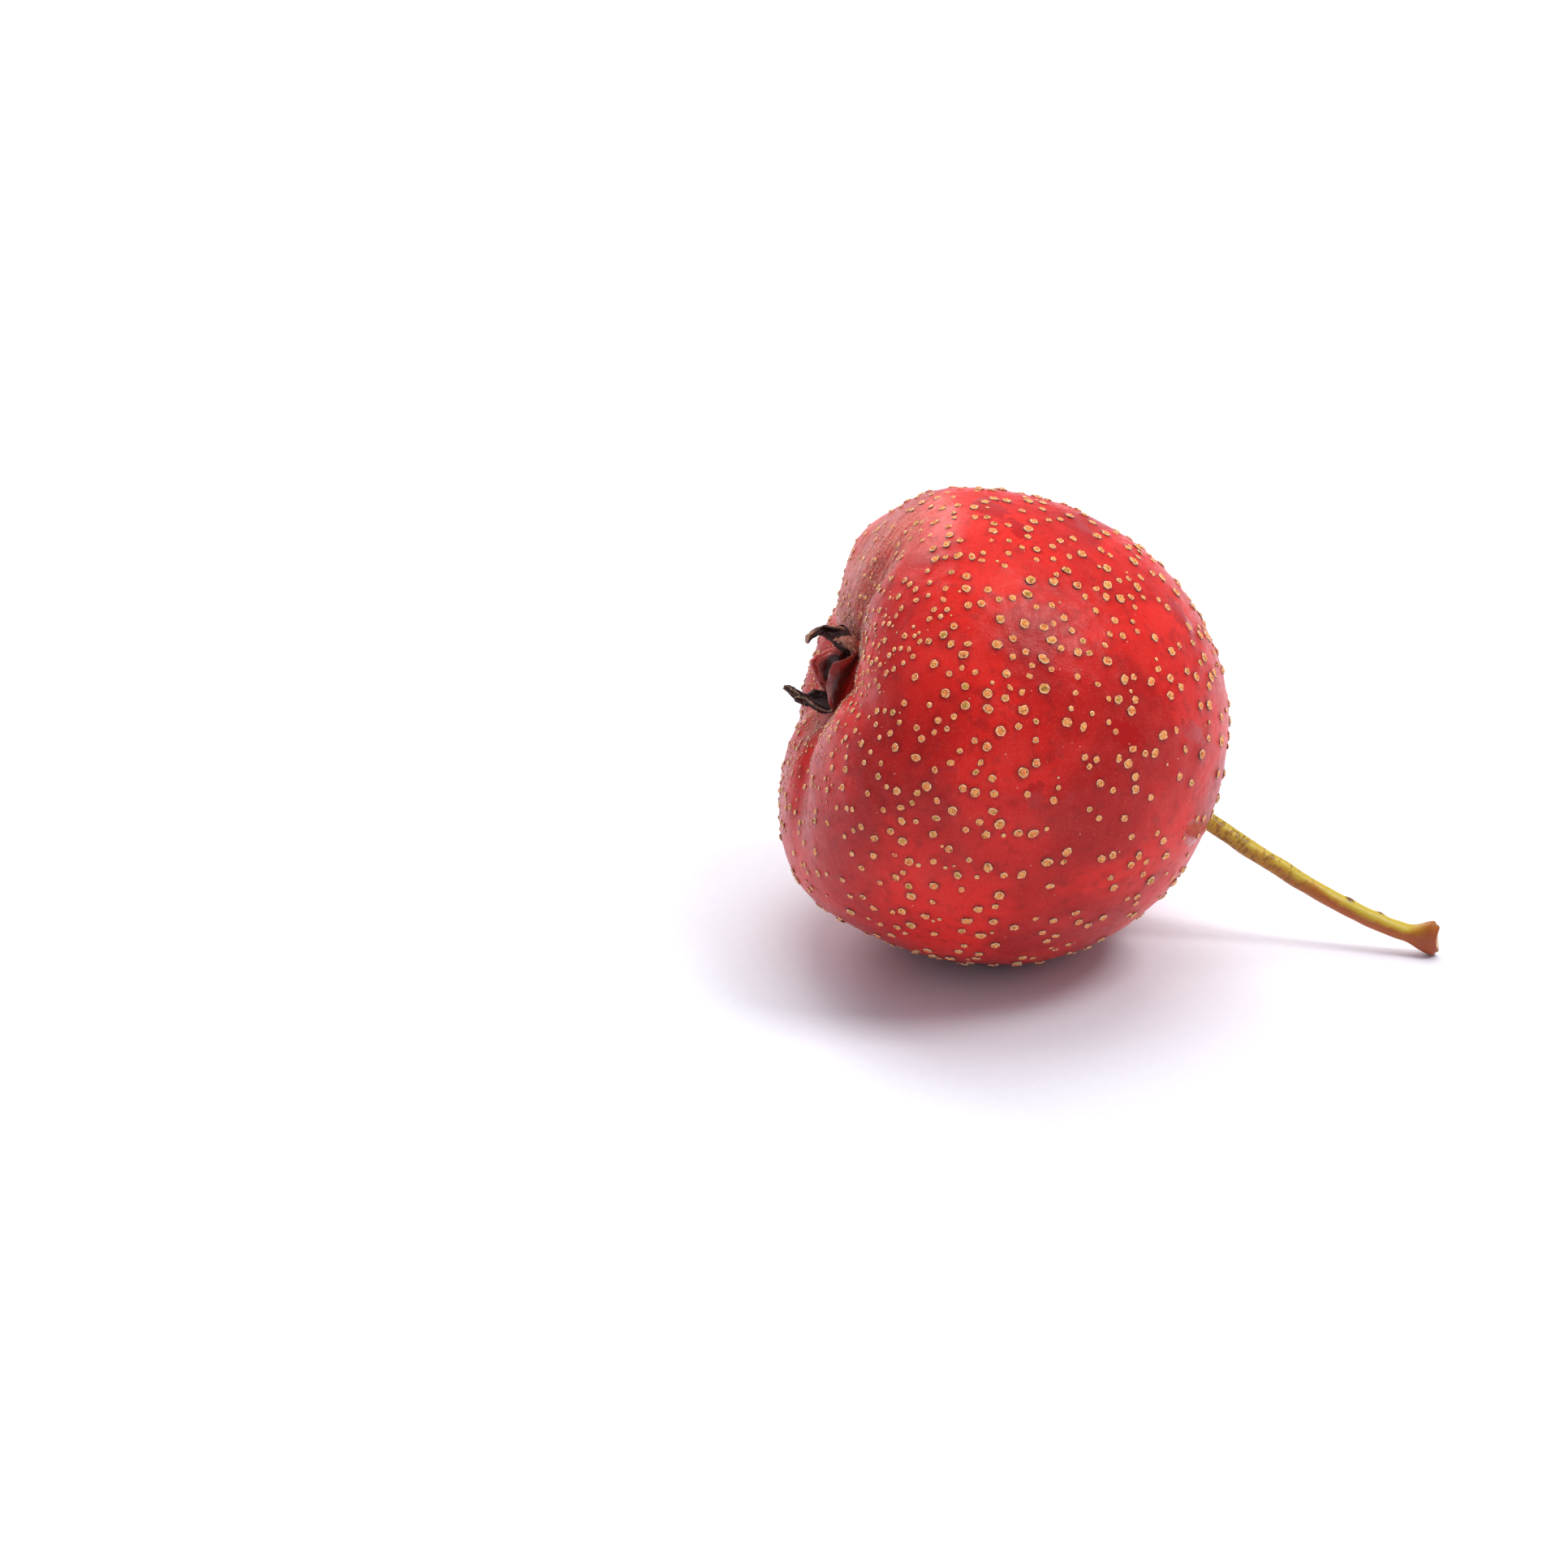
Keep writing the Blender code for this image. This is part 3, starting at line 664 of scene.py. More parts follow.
@dataclass(frozen=True)
class BerrySkin(Finish):
    """Ripe hawthorn skin: a thin cuticle over red flesh.

    It is satin with a wax bloom that scatters a pink haze, glossy and deeper red where juice has
    wetted it, downy and greyed in the shoulders' grooves. A ring of painted shade darkens it round
    each lenticel, and on the upper shoulder a sheen is painted in the colour of the down.
    """

    name: str = "hawthorn_skin"
    deep: str = "#A80D09"
    ripe: str = "#DC2016"
    shade: str = "#7E0806"
    bloom: str = "#E4625A"
    soaked: str = "#AE0504"
    down: str = "#EA8E7A"
    grain: str = "#F2D0C0"
    russet: str = "#6E2A1C"
    pinprick: str = "#EFA79A"
    glow: str = "#FFE6EC"
    roughness: float = 0.29
    wax_ior: float = 1.36  # light bends in wax a little less than in other plant tissue
    juice_ior: float = 1.33

    def apply(self, paint: Paint) -> None:
        """Work the skin out, from its red flesh to what lies on it."""
        colour = paint.mix(paint.speckle(6.0, 3.0, 0.6).band(0.3, 0.7), self.deep, self.ripe)
        # Darker cells show through in mottles; the dark ring round each lenticel's foot is partly a
        # real crack and partly painted shade
        mottle = paint.speckle(0.7, 4.0).band(0.5, 0.72, 0.4)
        colour = paint.mix(mottle.or_more(paint.read("wart_shade") * 0.6), colour, self.shade)
        # Wax bloom lies in hazy patches a few millimetres wide and is broken up finely, and the
        # cuticle itself is grained, a tenth of a millimetre across
        fine, micro = paint.speckle(0.35, 4.0), paint.speckle(0.1)
        haze = paint.speckle(4.0, 5.0, 1.2).band(0.45, 0.75, 0.18) * fine + micro.band(0.52, 0.72, 0.2)
        wet = (paint.read("wet") + fine.band(0.3, 0.7, 0.25)).band(0.12, 0.2)
        colour = paint.mix(haze * (1.0 - wet), colour, self.bloom)
        colour = paint.mix(wet * 0.8, colour, self.soaked)
        # Pale pinpricks of 0.1 mm are gathered in clouds
        dots = {"Vector": paint.place, "Scale": PER_MM / 0.65}
        pricks = add_node(paint.tree, "TexVoronoi", "Distance", dots).band(0.09, 0.04, 0.8)
        colour = paint.mix(pricks * paint.speckle(1.7).band(0.5, 0.6), colour, self.pinprick)
        # Down and greyish fibres run from the calyx up the grooves; on the upper shoulder the same
        # colour is partly real down and partly painted sheen
        down = paint.read("down")
        fibres = {"Scale": 34.0, "Detail": 5.0, "Roughness": 0.65}
        fibres["Vector"] = paint.read("meridian", "Vector")
        furred = down * add_node(paint.tree, "TexNoise", "Fac", fibres).band(0.34, 0.64)
        colour = paint.mix(furred, colour, self.down)
        # Between the fibres lie pale and dark grains, a tenth of a millimetre wide
        grains = paint.speckle(0.1, 2.0)
        colour = paint.mix(grains.band(0.56, 0.66, 0.6) * down, colour, self.grain)
        colour = paint.mix(grains.band(0.42, 0.36, 0.5) * down, colour, self.russet)
        paint.finish(
            {
                "Base Color": paint.mix(paint.read("russet"), colour, self.russet),
                "Roughness": fine.band(0.3, 0.7, 0.12) + self.roughness + wet.band(0.0, 1.0, -0.2),
                "IOR": self.wax_ior,
                "Specular IOR Level": 0.42,
                "Sheen Weight": 0.02,
                "Sheen Roughness": 0.45,
                "Sheen Tint": linear(self.glow),
                "Coat Weight": wet * 0.4,
                "Coat Roughness": 0.05,
                "Coat IOR": self.juice_ior,
            },
            (fine * 0.5 + furred * 1.5 + pricks + micro, 0.5, 0.03),
            (paint.speckle(1.1, 2.0), 0.5, 0.10),
        )


@dataclass(frozen=True)
class LenticelCork(Finish):
    """Dry cork: ochre and cracked in the middle, with a pale broken rim and a dark gap round it that is
    partly a real crack and partly painted shade.
    """

    name: str = "lenticel_cork"
    foot: str = "#A81A12"
    gap: str = "#43120A"
    rim: str = "#FFD0A4"
    body: str = "#F5A558"
    crack: str = "#8A4A1A"
    olive: str = "#B4923C"
    orange: str = "#F58A4C"

    def apply(self, paint: Paint) -> None:
        """Work the cork out, from the foot inwards."""
        layer, tone = paint.read("layer"), paint.read("tone")
        crumbs, lumps = paint.speckle(0.13, 3.0, 0.6), paint.speckle(0.3, 2.0)
        # The dark gap between the foot and the rim is partly a real crack and partly painted shade
        foot, gap = ((0.04, self.foot),), ((0.10, self.gap), (0.28, self.gap))
        rim, body = ((0.38, self.rim), (0.45, self.rim)), ((0.56, self.body), (1.0, self.body))
        jagged = {"Fac": layer + crumbs.band(0.25, 0.75, 0.12)}
        colour = add_node(paint.tree, "ValToRGB", "Color", jagged, foot + gap + rim + body)
        # The rim is worn through here and there, and the middle goes olive or orange with age
        colour = paint.mix(lumps.band(0.56, 0.62) * layer.band(0.3, 0.38), colour, self.body)
        middle = layer.band(0.55, 0.8)
        colour = paint.mix(tone.band(0.16, 0.04) * middle, colour, self.olive)
        colour = paint.mix(tone.band(0.5, 0.9) * middle, colour, self.orange)
        colour = paint.mix(crumbs.band(0.54, 0.63, 0.8) * layer.band(0.3, 0.5), colour, self.crack)
        paint.finish({"Base Color": colour, "Roughness": 0.55}, (crumbs, 0.8, 0.04))


@dataclass(frozen=True)
class StemBark(Finish):
    """Green bark of a fruit stem: waxy, olive-yellow on top and russet below, the russet partly its own
    colour and partly painted shade, ringed by fine dots.
    """

    name: str = "stem_bark"
    olive: str = "#B09C2C"
    straw: str = "#D2B63A"
    russet: str = "#A4500C"
    dots: str = "#84501E"
    end: str = "#963E0A"
    scar: str = "#E3CB98"
    spot: str = "#CFC6C4"
    fleck: str = "#6A4326"

    def apply(self, paint: Paint) -> None:
        """Work the bark out, from its ground colour to its marks."""
        along, patches = paint.read("along"), paint.speckle(1.2)
        # The underside is browned towards russet: partly the bark's own colour, partly painted shade
        under = (paint.read("height") + patches.band(0.2, 0.8, -0.7)).band(0.62, -0.22)
        russet_and_shade = under * (along.band(0.1, 0.6, 0.7) + 0.3)
        colour = paint.mix(russet_and_shade, paint.mix(patches, self.olive, self.straw), self.russet)
        rings = {"Vector": paint.read("bark", "Vector"), "Scale": 1.0, "Detail": 2.0}
        dotted = add_node(paint.tree, "TexNoise", "Fac", rings).band(0.5, 0.6) * along.band(0.6, 0.35)
        colour = paint.mix(dotted * 0.7, colour, self.dots)
        colour = paint.mix(along.band(0.84, 0.97, 0.85), colour, self.end)
        for mark in ("scar", "spot", "fleck"):
            colour = paint.mix(paint.read(mark), colour, getattr(self, mark))
        waxy = {"Base Color": colour, "Roughness": 0.4, "Specular IOR Level": 0.45}
        paint.finish(waxy, (paint.speckle(0.25) + dotted, 0.5, 0.05))


@dataclass(frozen=True)
class DriedSepal(Finish):
    """A dried sepal: glossy red flesh where it leaves the fruit, leathery brown towards its edge, with
    painted shade in a fold and on its inner side.
    """

    name: str = "dried_sepal"
    # Each sepal has its own stage of drying, from pink flesh to black shreds
    stages: tuple[tuple[float, str], ...] = (
        (0.0, "#D4524A"),
        (0.25, "#B02A22"),
        (0.45, "#7C1612"),
        (0.62, "#8A4A3C"),
        (0.8, "#5A2E22"),
        (1.0, "#1C0E0B"),
    )
    flesh: str = "#C02019"
    fold_shade: str = "#3A0605"
    edge: str = "#C79A72"
    crust: str = "#C08A78"
    hollow_shade: str = "#2A0605"

    def apply(self, paint: Paint) -> None:
        """Work the sepal out, from its body to its inner side."""
        lumps, veins = paint.speckle(0.9, 4.0, 0.8), paint.speckle(0.2, 4.0, 1.5)
        share, look = paint.read("share"), paint.read("look")
        stage = {"Fac": look + lumps.band(0.3, 0.7, 0.12)}
        colour = add_node(paint.tree, "ValToRGB", "Color", stage, self.stages)
        # A band across the glossy dark-red sepal is darkened as painted shade where it folds
        fold_shade = share.band(0.48, 0.6) * share.band(0.86, 0.72)
        glossy = look.band(0.3, 0.38) * look.band(0.5, 0.42)
        colour = paint.mix(fold_shade * glossy, colour, self.fold_shade)
        colour = paint.mix((share + lumps.band(0.3, 0.7, 0.1)).band(0.52, 0.28), colour, self.flesh)
        dry = look.band(0.35, 0.6)
        edge = share.band(0.9, 0.99, 0.75) * veins.band(0.35, 0.6)
        colour = paint.mix(edge * dry, colour, self.edge)
        colour = paint.mix(veins.band(0.54, 0.66, 0.6) * dry, colour, self.crust)
        # The inner side is darkened as painted shade, most deeply inside the cup
        colour = paint.mix(paint.read("inner_shade"), colour, self.hollow_shade)
        rough = veins.band(0.3, 0.7, 0.25) + dry * 0.25 + 0.14
        relief = lumps * 1.2 + veins * (dry + 0.25)
        paint.finish({"Base Color": colour, "Roughness": rough}, (relief, 0.7, 0.10))


@dataclass(frozen=True)
class Fibre(Finish):
    """A dry plant fibre, such as a withered stamen or a hair of down, lighter towards its tip."""

    name: str = "withered_stamen"
    foot: str = "#1A0906"
    tip: str = "#3A1C12"
    roughness: float = 0.6

    def apply(self, paint: Paint) -> None:
        """Work the fibre out."""
        share = paint.read("share") + paint.speckle(0.3).band(0.3, 0.7, 0.3)
        colour = paint.mix(share.band(0.2, 1.1), self.foot, self.tip)
        dry = {"Base Color": colour, "Roughness": self.roughness}
        paint.finish(dry, (paint.speckle(0.2), 0.6, 0.05))


@dataclass(frozen=True)
class StudioPaper(Finish):
    """Matt white background paper, with a tooth too fine to see."""

    name: str = "studio_paper"
    low: str = "#E6E8F1"
    high: str = "#EBEDF5"

    def apply(self, paint: Paint) -> None:
        """Work the paper out."""
        colour = paint.mix(paint.speckle(0.6, 2.0), self.low, self.high)
        paint.finish({"Base Color": colour, "Roughness": 0.9})


# Pieces


@dataclass(frozen=True)
class JuiceSmear:
    """A place that juice has wetted: polar angle, azimuth, and half length and width in millimetres."""

    polar: float
    azimuth: float
    length: float
    width: float
    turn: float = 0.0


@dataclass
class FruitSkin:
    """The skin itself, with a gentle swelling and a painted shade ring round each lenticel."""

    form: SkinForm
    lie: Lie
    warts: list[Wart]
    finish: BerrySkin = field(default_factory=BerrySkin)
    subdivisions: int = 7
    swelling: float = 0.05
    swelling_spread: float = 1.5  # in foot radii of the lenticel
    wart_shade_spread: float = 0.3  # likewise
    unevenness: float = 0.03
    unevenness_size: float = 1.4 / 12.0  # of its lumps, as a share of the distance from the origin
    pit_depth: float = 1.7  # under the calyx, where the cup hides it
    pit_zone: tuple[float, float] = (8.0, 13.0)
    # Azimuth and its spread, and polar angle and its spread, of the down in the main groove
    groove_down: tuple[float, float, float, float] = (86.0, 15.0, 34.0, 20.0)
    collar_down: tuple[float, float] = (14.0, 27.0)
    # Azimuth and its spread, and the polar angles where the painted sheen on the upper shoulder thins
    # out; it is laid on in the down's colour
    shoulder_sheen: tuple[float, float, float, float] = (58.0, 36.0, 34.0, 66.0)
    russet_zone: tuple[float, float] = (168.0, 176.0)
    smears: tuple[JuiceSmear, ...] = (
        JuiceSmear(68.0, 94.0, 1.3, 0.9, 30.0),
        JuiceSmear(74.0, 103.5, 1.0, 0.5, 0.0),
        JuiceSmear(92.0, 95.5, 1.3, 0.5, 20.0),
        JuiceSmear(120.0, 109.0, 1.5, 0.8, 60.0),
        JuiceSmear(107.0, 152.0, 1.2, 0.7, 80.0),
        JuiceSmear(128.0, 143.0, 1.3, 0.55, 90.0),
        JuiceSmear(141.0, 174.0, 1.4, 0.7, 70.0),
        JuiceSmear(90.0, 172.5, 0.8, 0.5, 10.0),
        JuiceSmear(98.0, 171.0, 0.5, 0.3, 0.0),
    )

    def build(self) -> Piece:
        """Model the skin."""
        deselect()
        bpy.ops.mesh.primitive_ico_sphere_add(subdivisions=self.subdivisions, radius=1.0)
        piece = named("berry_skin")
        ways = unit(points_of(piece))
        rise, wart_shade = self.round_warts(ways)
        radii = self.form.radii(ways) + rise + self.unevenness * grain(ways, self.unevenness_size, 3.0)
        pit = unit(self.lie.calyx_centre() - np.array([self.form.calyx_reach, 0.0, 0.0]))
        from_pit = np.degrees(np.arccos(np.clip(ways @ pit, -1.0, 1.0)))
        radii = radii - self.pit_depth * (1.0 - smooth_step(*self.pit_zone, from_pit))
        points = self.lie.place(ways * radii[:, None])
        points[:, 2] = np.maximum(points[:, 2], 0.0)
        move_points(piece, points)
        self.keep_zones(piece, ways)
        store(piece, "wart_shade", wart_shade)
        dress(piece, self.finish.make(), 80.0)
        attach(piece, "root")
        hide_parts("fruit")
        return piece

    def round_warts(self, ways: np.ndarray) -> tuple[np.ndarray, np.ndarray]:
        """Look at the skin round the lenticels.

        Args:
            ways: Unit vectors from the berry's origin, one a row.

        Returns:
            How far the skin swells up, in millimetres, and how strong the painted shade ring round each
            lenticel is, from 0 to 1.
        """
        rise, wart_shade = np.zeros(len(ways)), np.zeros(len(ways))
        for wart in self.warts:
            gap = np.arccos(np.clip(ways @ wart.direction, -1.0, 1.0)) * self.form.girth_radius
            reach = gap / wart.radius
            rise = np.maximum(rise, self.swelling * bell(reach / self.swelling_spread))
            # Each lenticel's foot gets a ring of painted shade on the skin
            wart_shade = np.maximum(wart_shade, bell((reach - 1.0) / self.wart_shade_spread))
        return rise, wart_shade

    def keep_zones(self, piece: Piece, ways: np.ndarray) -> None:
        """Keep where the skin is downy, russet or wet, and where a sheen is painted on the upper
        shoulder, for its material.
        """
        polar, azimuth = self.form.polar(ways), self.form.azimuth(ways)
        ring = spokes(azimuth)[:, 1:]
        store(piece, "meridian", np.column_stack([ring, np.radians(polar) * 0.22]))
        place, width, middle, spread = self.groove_down
        groove = bell(apart(azimuth, place) / width) * bell((polar - middle) / spread)
        collar = 1.0 - smooth_step(*self.collar_down, polar)
        # On the upper shoulder the down mask also carries a painted sheen
        place, width, *thinning = self.shoulder_sheen
        painted_sheen = bell(apart(azimuth, place) / width) * (1.0 - smooth_step(*thinning, polar))
        store(piece, "down", np.clip(0.7 * groove + 0.4 * collar + 0.55 * painted_sheen, 0.0, 0.65))
        store(piece, "russet", 0.75 * smooth_step(*self.russet_zone, polar))
        skin, wet = ways * self.form.radii(ways)[:, None], np.full(len(ways), -1.0)
        for smear in self.smears:
            point, along, across, _ = self.form.frame_at(direction_at(smear.polar, smear.azimuth))
            east, north = (skin - point) @ along, (skin - point) @ across
            cos, sin = math.cos(math.radians(smear.turn)), math.sin(math.radians(smear.turn))
            length = (east * cos + north * sin) / smear.length
            width = (north * cos - east * sin) / smear.width
            wet = np.maximum(wet, 0.5 - 0.5 * np.hypot(length, width))
        store(piece, "wet", wet)


class WartKind(Enum):
    """The lenticel shapes: sides, points of the star, depth of the star, and stretch."""

    ROUND = (13, 5, 0.03, 1.0)
    KNOBBLED = (14, 6, 0.06, 1.04)
    OVAL = (13, 4, 0.05, 1.14)
    RAGGED = (14, 5, 0.10, 1.06)
    PAIR = (14, 2, 0.10, 1.18)
    ANGULAR = (13, 4, 0.07, 1.0)


@dataclass
class Lenticels:
    """The corky warts: a few shapes modelled once and copied to every place of the rule."""

    form: SkinForm
    lie: Lie
    warts: list[Wart]
    finish: LenticelCork = field(default_factory=LenticelCork)
    seed: int = 11
    variants: int = 3  # of each kind
    # Rings from the foot inwards: place in foot radii, height in millimetres, and jitter of both
    rings: tuple[tuple[float, float, float, float], ...] = (
        (0.97, -0.03, 0.09, 0.0),
        (0.84, 0.045, 0.12, 0.015),
        (0.71, 0.10, 0.12, 0.035),
        (0.53, 0.08, 0.12, 0.025),
        (0.28, 0.12, 0.15, 0.035),
        (0.0, 0.11, 0.1, 0.02),
    )
    full_radius: float = 0.27  # at which a wart stands as high as its rings say
    bead_radius: float = 0.17  # below this a wart is a smooth bead
    # Rings of a bead: place, height over its radius, and layer of the finish
    bead_rings: tuple[tuple[float, float, float], ...] = (
        (1.10, -0.2, 0.0),
        (0.98, 0.25, 0.22),
        (0.72, 0.62, 0.46),
        (0.0, 0.78, 0.62),
    )
    dot_count: int = 760
    dot_zone: tuple[float, float] = (17.0, 46.0)
    dot_radius: tuple[float, float] = (0.035, 0.09)
    dot_gather: float = 1.6  # power that draws them to the zone's near edge
    stray_count: int = 240
    stray_zone: tuple[float, float] = (30.0, 165.0)
    stray_radius: tuple[float, float] = (0.05, 0.16)
    floor_gap: float = 0.3  # height below which there are no beads

    def disc(self, name: str, sides: int, insets: int) -> Piece:
        """Model a flat disc of nested rings with a point in the middle."""
        deselect()
        bpy.ops.mesh.primitive_circle_add(vertices=sides, radius=1.0, fill_type="NGON")
        piece = named(name)
        bpy.ops.object.mode_set(mode="EDIT")
        bpy.ops.mesh.select_all(action="SELECT")
        for _ in range(insets):
            bpy.ops.mesh.inset(thickness=0.15, depth=0.0)
        bpy.ops.mesh.poke()
        bpy.ops.object.mode_set(mode="OBJECT")
        return piece

    @staticmethod
    def levels(points: np.ndarray) -> np.ndarray:
        """The ring that each point of a disc is on, counted from the outside."""
        reach = np.hypot(points[:, 0], points[:, 1])
        steps = np.unique(np.round(reach, 2))[::-1]
        return np.argmin(np.abs(reach[:, None] - steps[None, :]), axis=1)

    def model(self, kind: WartKind, draw: random.Random) -> Piece:
        """Model one shape, with X and Y in foot radii and Z in millimetres."""
        sides, star, depth, stretch = kind.value
        piece = self.disc(f"wart_{kind.name.lower()}", sides, len(self.rings) - 2)
        points = points_of(piece)
        level = self.levels(points)
        phase = draw.uniform(0.0, FULL_TURN)
        for index, ring in enumerate(level):
            place, height, sway, lift = self.rings[ring]
            angle = math.atan2(points[index][1], points[index][0])
            outline = 1.0 + depth * math.sin(star * angle + phase) * (1.0 - 0.12 * ring)
            radius = place * outline * (1.0 + draw.uniform(-sway, sway))
            points[index] = (
                radius * math.cos(angle) * stretch,
                radius * math.sin(angle) / stretch,
                height + draw.uniform(-lift, lift),
            )
        move_points(piece, points)
        store(piece, "layer", level / (len(self.rings) - 1.0))
        store(piece, "tone", np.zeros(len(points)))
        return piece

    def model_bead(self) -> Piece:
        """Model a small domed wart of radius 1."""
        piece = self.disc("wart_bead", 8, len(self.bead_rings) - 2)
        points = points_of(piece)
        level = self.levels(points)
        angle = np.arctan2(points[:, 1], points[:, 0])
        place, height, layer = np.array(self.bead_rings)[level].T
        move_points(piece, np.column_stack([place * np.cos(angle), place * np.sin(angle), height]))
        store(piece, "layer", layer)
        store(piece, "tone", np.zeros(len(points)))
        return piece

    def set_on(
        self, model: Piece, way: np.ndarray, radius: float, height: float, draw: random.Random
    ) -> Piece:
        """Set a copy of a shape on the skin.

        Args:
            model: The shape.
            way: Direction of the place from the berry's origin.
            radius: Radius of the foot in millimetres.
            height: Factor on the shape's heights.
            draw: Seeded draws for its turn and its tone.

        Returns:
            The copy.
        """
        piece = copy_of(model)
        east, north, up = points_of(piece).T
        turn = draw.uniform(0.0, FULL_TURN)
        cos, sin = math.cos(turn) * radius, math.sin(turn) * radius
        flat = np.column_stack((east * cos - north * sin, east * sin + north * cos, up * height))
        placed = self.lie.place(self.form.wrap(way, flat))
        placed[:, 2] = np.maximum(placed[:, 2], 0.0)
        move_points(piece, placed)
        store(piece, "tone", np.full(len(flat), draw.random()))
        return piece

    def beads(self, draw: random.Random) -> Iterator[tuple[np.ndarray, float]]:
        """Places and radii of the pimples: crowded round the calyx, and a few strays elsewhere."""
        dots = (self.dot_count, self.dot_zone, self.dot_radius, self.dot_gather)
        strays = (self.stray_count, self.stray_zone, self.stray_radius, 1.0)
        directions = np.array([wart.direction for wart in self.warts])
        radii = np.array([wart.radius for wart in self.warts])
        for count, (low, high), sizes, gather in (dots, strays):
            for _ in range(count):
                polar = low + (high - low) * draw.random() ** gather
                way = direction_at(polar, draw.uniform(0.0, 360.0))
                radius = draw.uniform(*sizes)
                gaps = np.linalg.norm(directions - way, axis=1) * self.form.girth_radius - radii
                height = self.lie.place(self.form.point(way))[2] / MM
                if gaps.min() > radius and height > self.floor_gap:
                    yield way, radius

    def build(self) -> Piece:
        """Copy the shapes over the skin and join them."""
        draw = random.Random(self.seed)
        models = [self.model(kind, draw) for kind in WartKind for _ in range(self.variants)]
        bead = self.model_bead()
        copies = []
        for wart in self.warts:
            if wart.radius < self.bead_radius:
                model, height = bead, wart.radius
            else:
                model, height = draw.choice(models), wart.radius / self.full_radius
            copies.append(self.set_on(model, wart.direction, wart.radius, height, draw))
        copies += [self.set_on(bead, way, radius, radius, draw) for way, radius in self.beads(draw)]
        for model in (*models, bead):
            bpy.data.objects.remove(model, do_unlink=True)
        piece = join(copies, "lenticels")
        dress(piece, self.finish.make(), 45.0)
        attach(piece, "root")
        return piece


@dataclass
class Down:
    """Fine hairs that lie along the skin round the calyx and in the main groove."""

    form: SkinForm
    lie: Lie
    finish: Fibre = Fibre("down_hair", "#B9837C", "#E9D6D2", 0.5)
    seed: int = 8
    count: int = 1300
    radius: float = 0.008
    lengths: tuple[float, float] = (0.15, 0.5)
    groove: tuple[float, float] = (84.0, 12.0)  # azimuth and its spread
    groove_zone: tuple[float, float] = (17.0, 46.0)
    collar_zone: tuple[float, float] = (17.0, 33.0)
    collar_gather: float = 1.5  # power that draws the hairs to the calyx
    lean: float = 0.5  # spread of the heading, in radians
    curls: tuple[float, float] = (-0.6, 0.6)
    arches: tuple[float, float] = (0.02, 0.12)

    def model(self) -> Piece:
        """Model one hair as a thin cone cut into short lengths, from 0 to 1 along Z."""
        piece = make_rod("hair", 3, 3, top=0.3)
        store(piece, "share", points_of(piece)[:, 2])
        return piece

    def build(self) -> Piece:
        """Lay the hairs on the skin and join them."""
        draw, model = random.Random(self.seed), self.model()
        thick, wide, share = points_of(model).T
        (near, far), copies = self.collar_zone, []
        for index in range(self.count):
            if index % 2 == 0:
                azimuth, polar = draw.gauss(*self.groove), draw.uniform(*self.groove_zone)
            else:
                azimuth = draw.uniform(0.0, 360.0)
                polar = near + (far - near) * draw.random() ** self.collar_gather
            way = direction_at(polar, azimuth)
            length, heading = draw.uniform(*self.lengths), draw.gauss(math.pi / 2.0, self.lean)
            angle = heading + draw.uniform(*self.curls) * share
            height = 0.01 + draw.uniform(*self.arches) * np.sin(share * 2.4) + wide * self.radius
            east = share * length * np.cos(angle) + thick * self.radius
            flat = np.column_stack([east, share * length * np.sin(angle), height])
            piece = copy_of(model)
            move_points(piece, self.lie.place(self.form.wrap(way, flat)))
            copies.append(piece)
        bpy.data.objects.remove(model, do_unlink=True)
        piece = join(copies, "down")
        dress(piece, self.finish.make())
        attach(piece, "root")
        return piece


@dataclass(frozen=True)
class StemMark:
    """A swelling on the stem: share along it, azimuth, height, half length, and its mark if any."""

    share: float
    azimuth: float
    height: float
    half_length: float
    look: str = ""


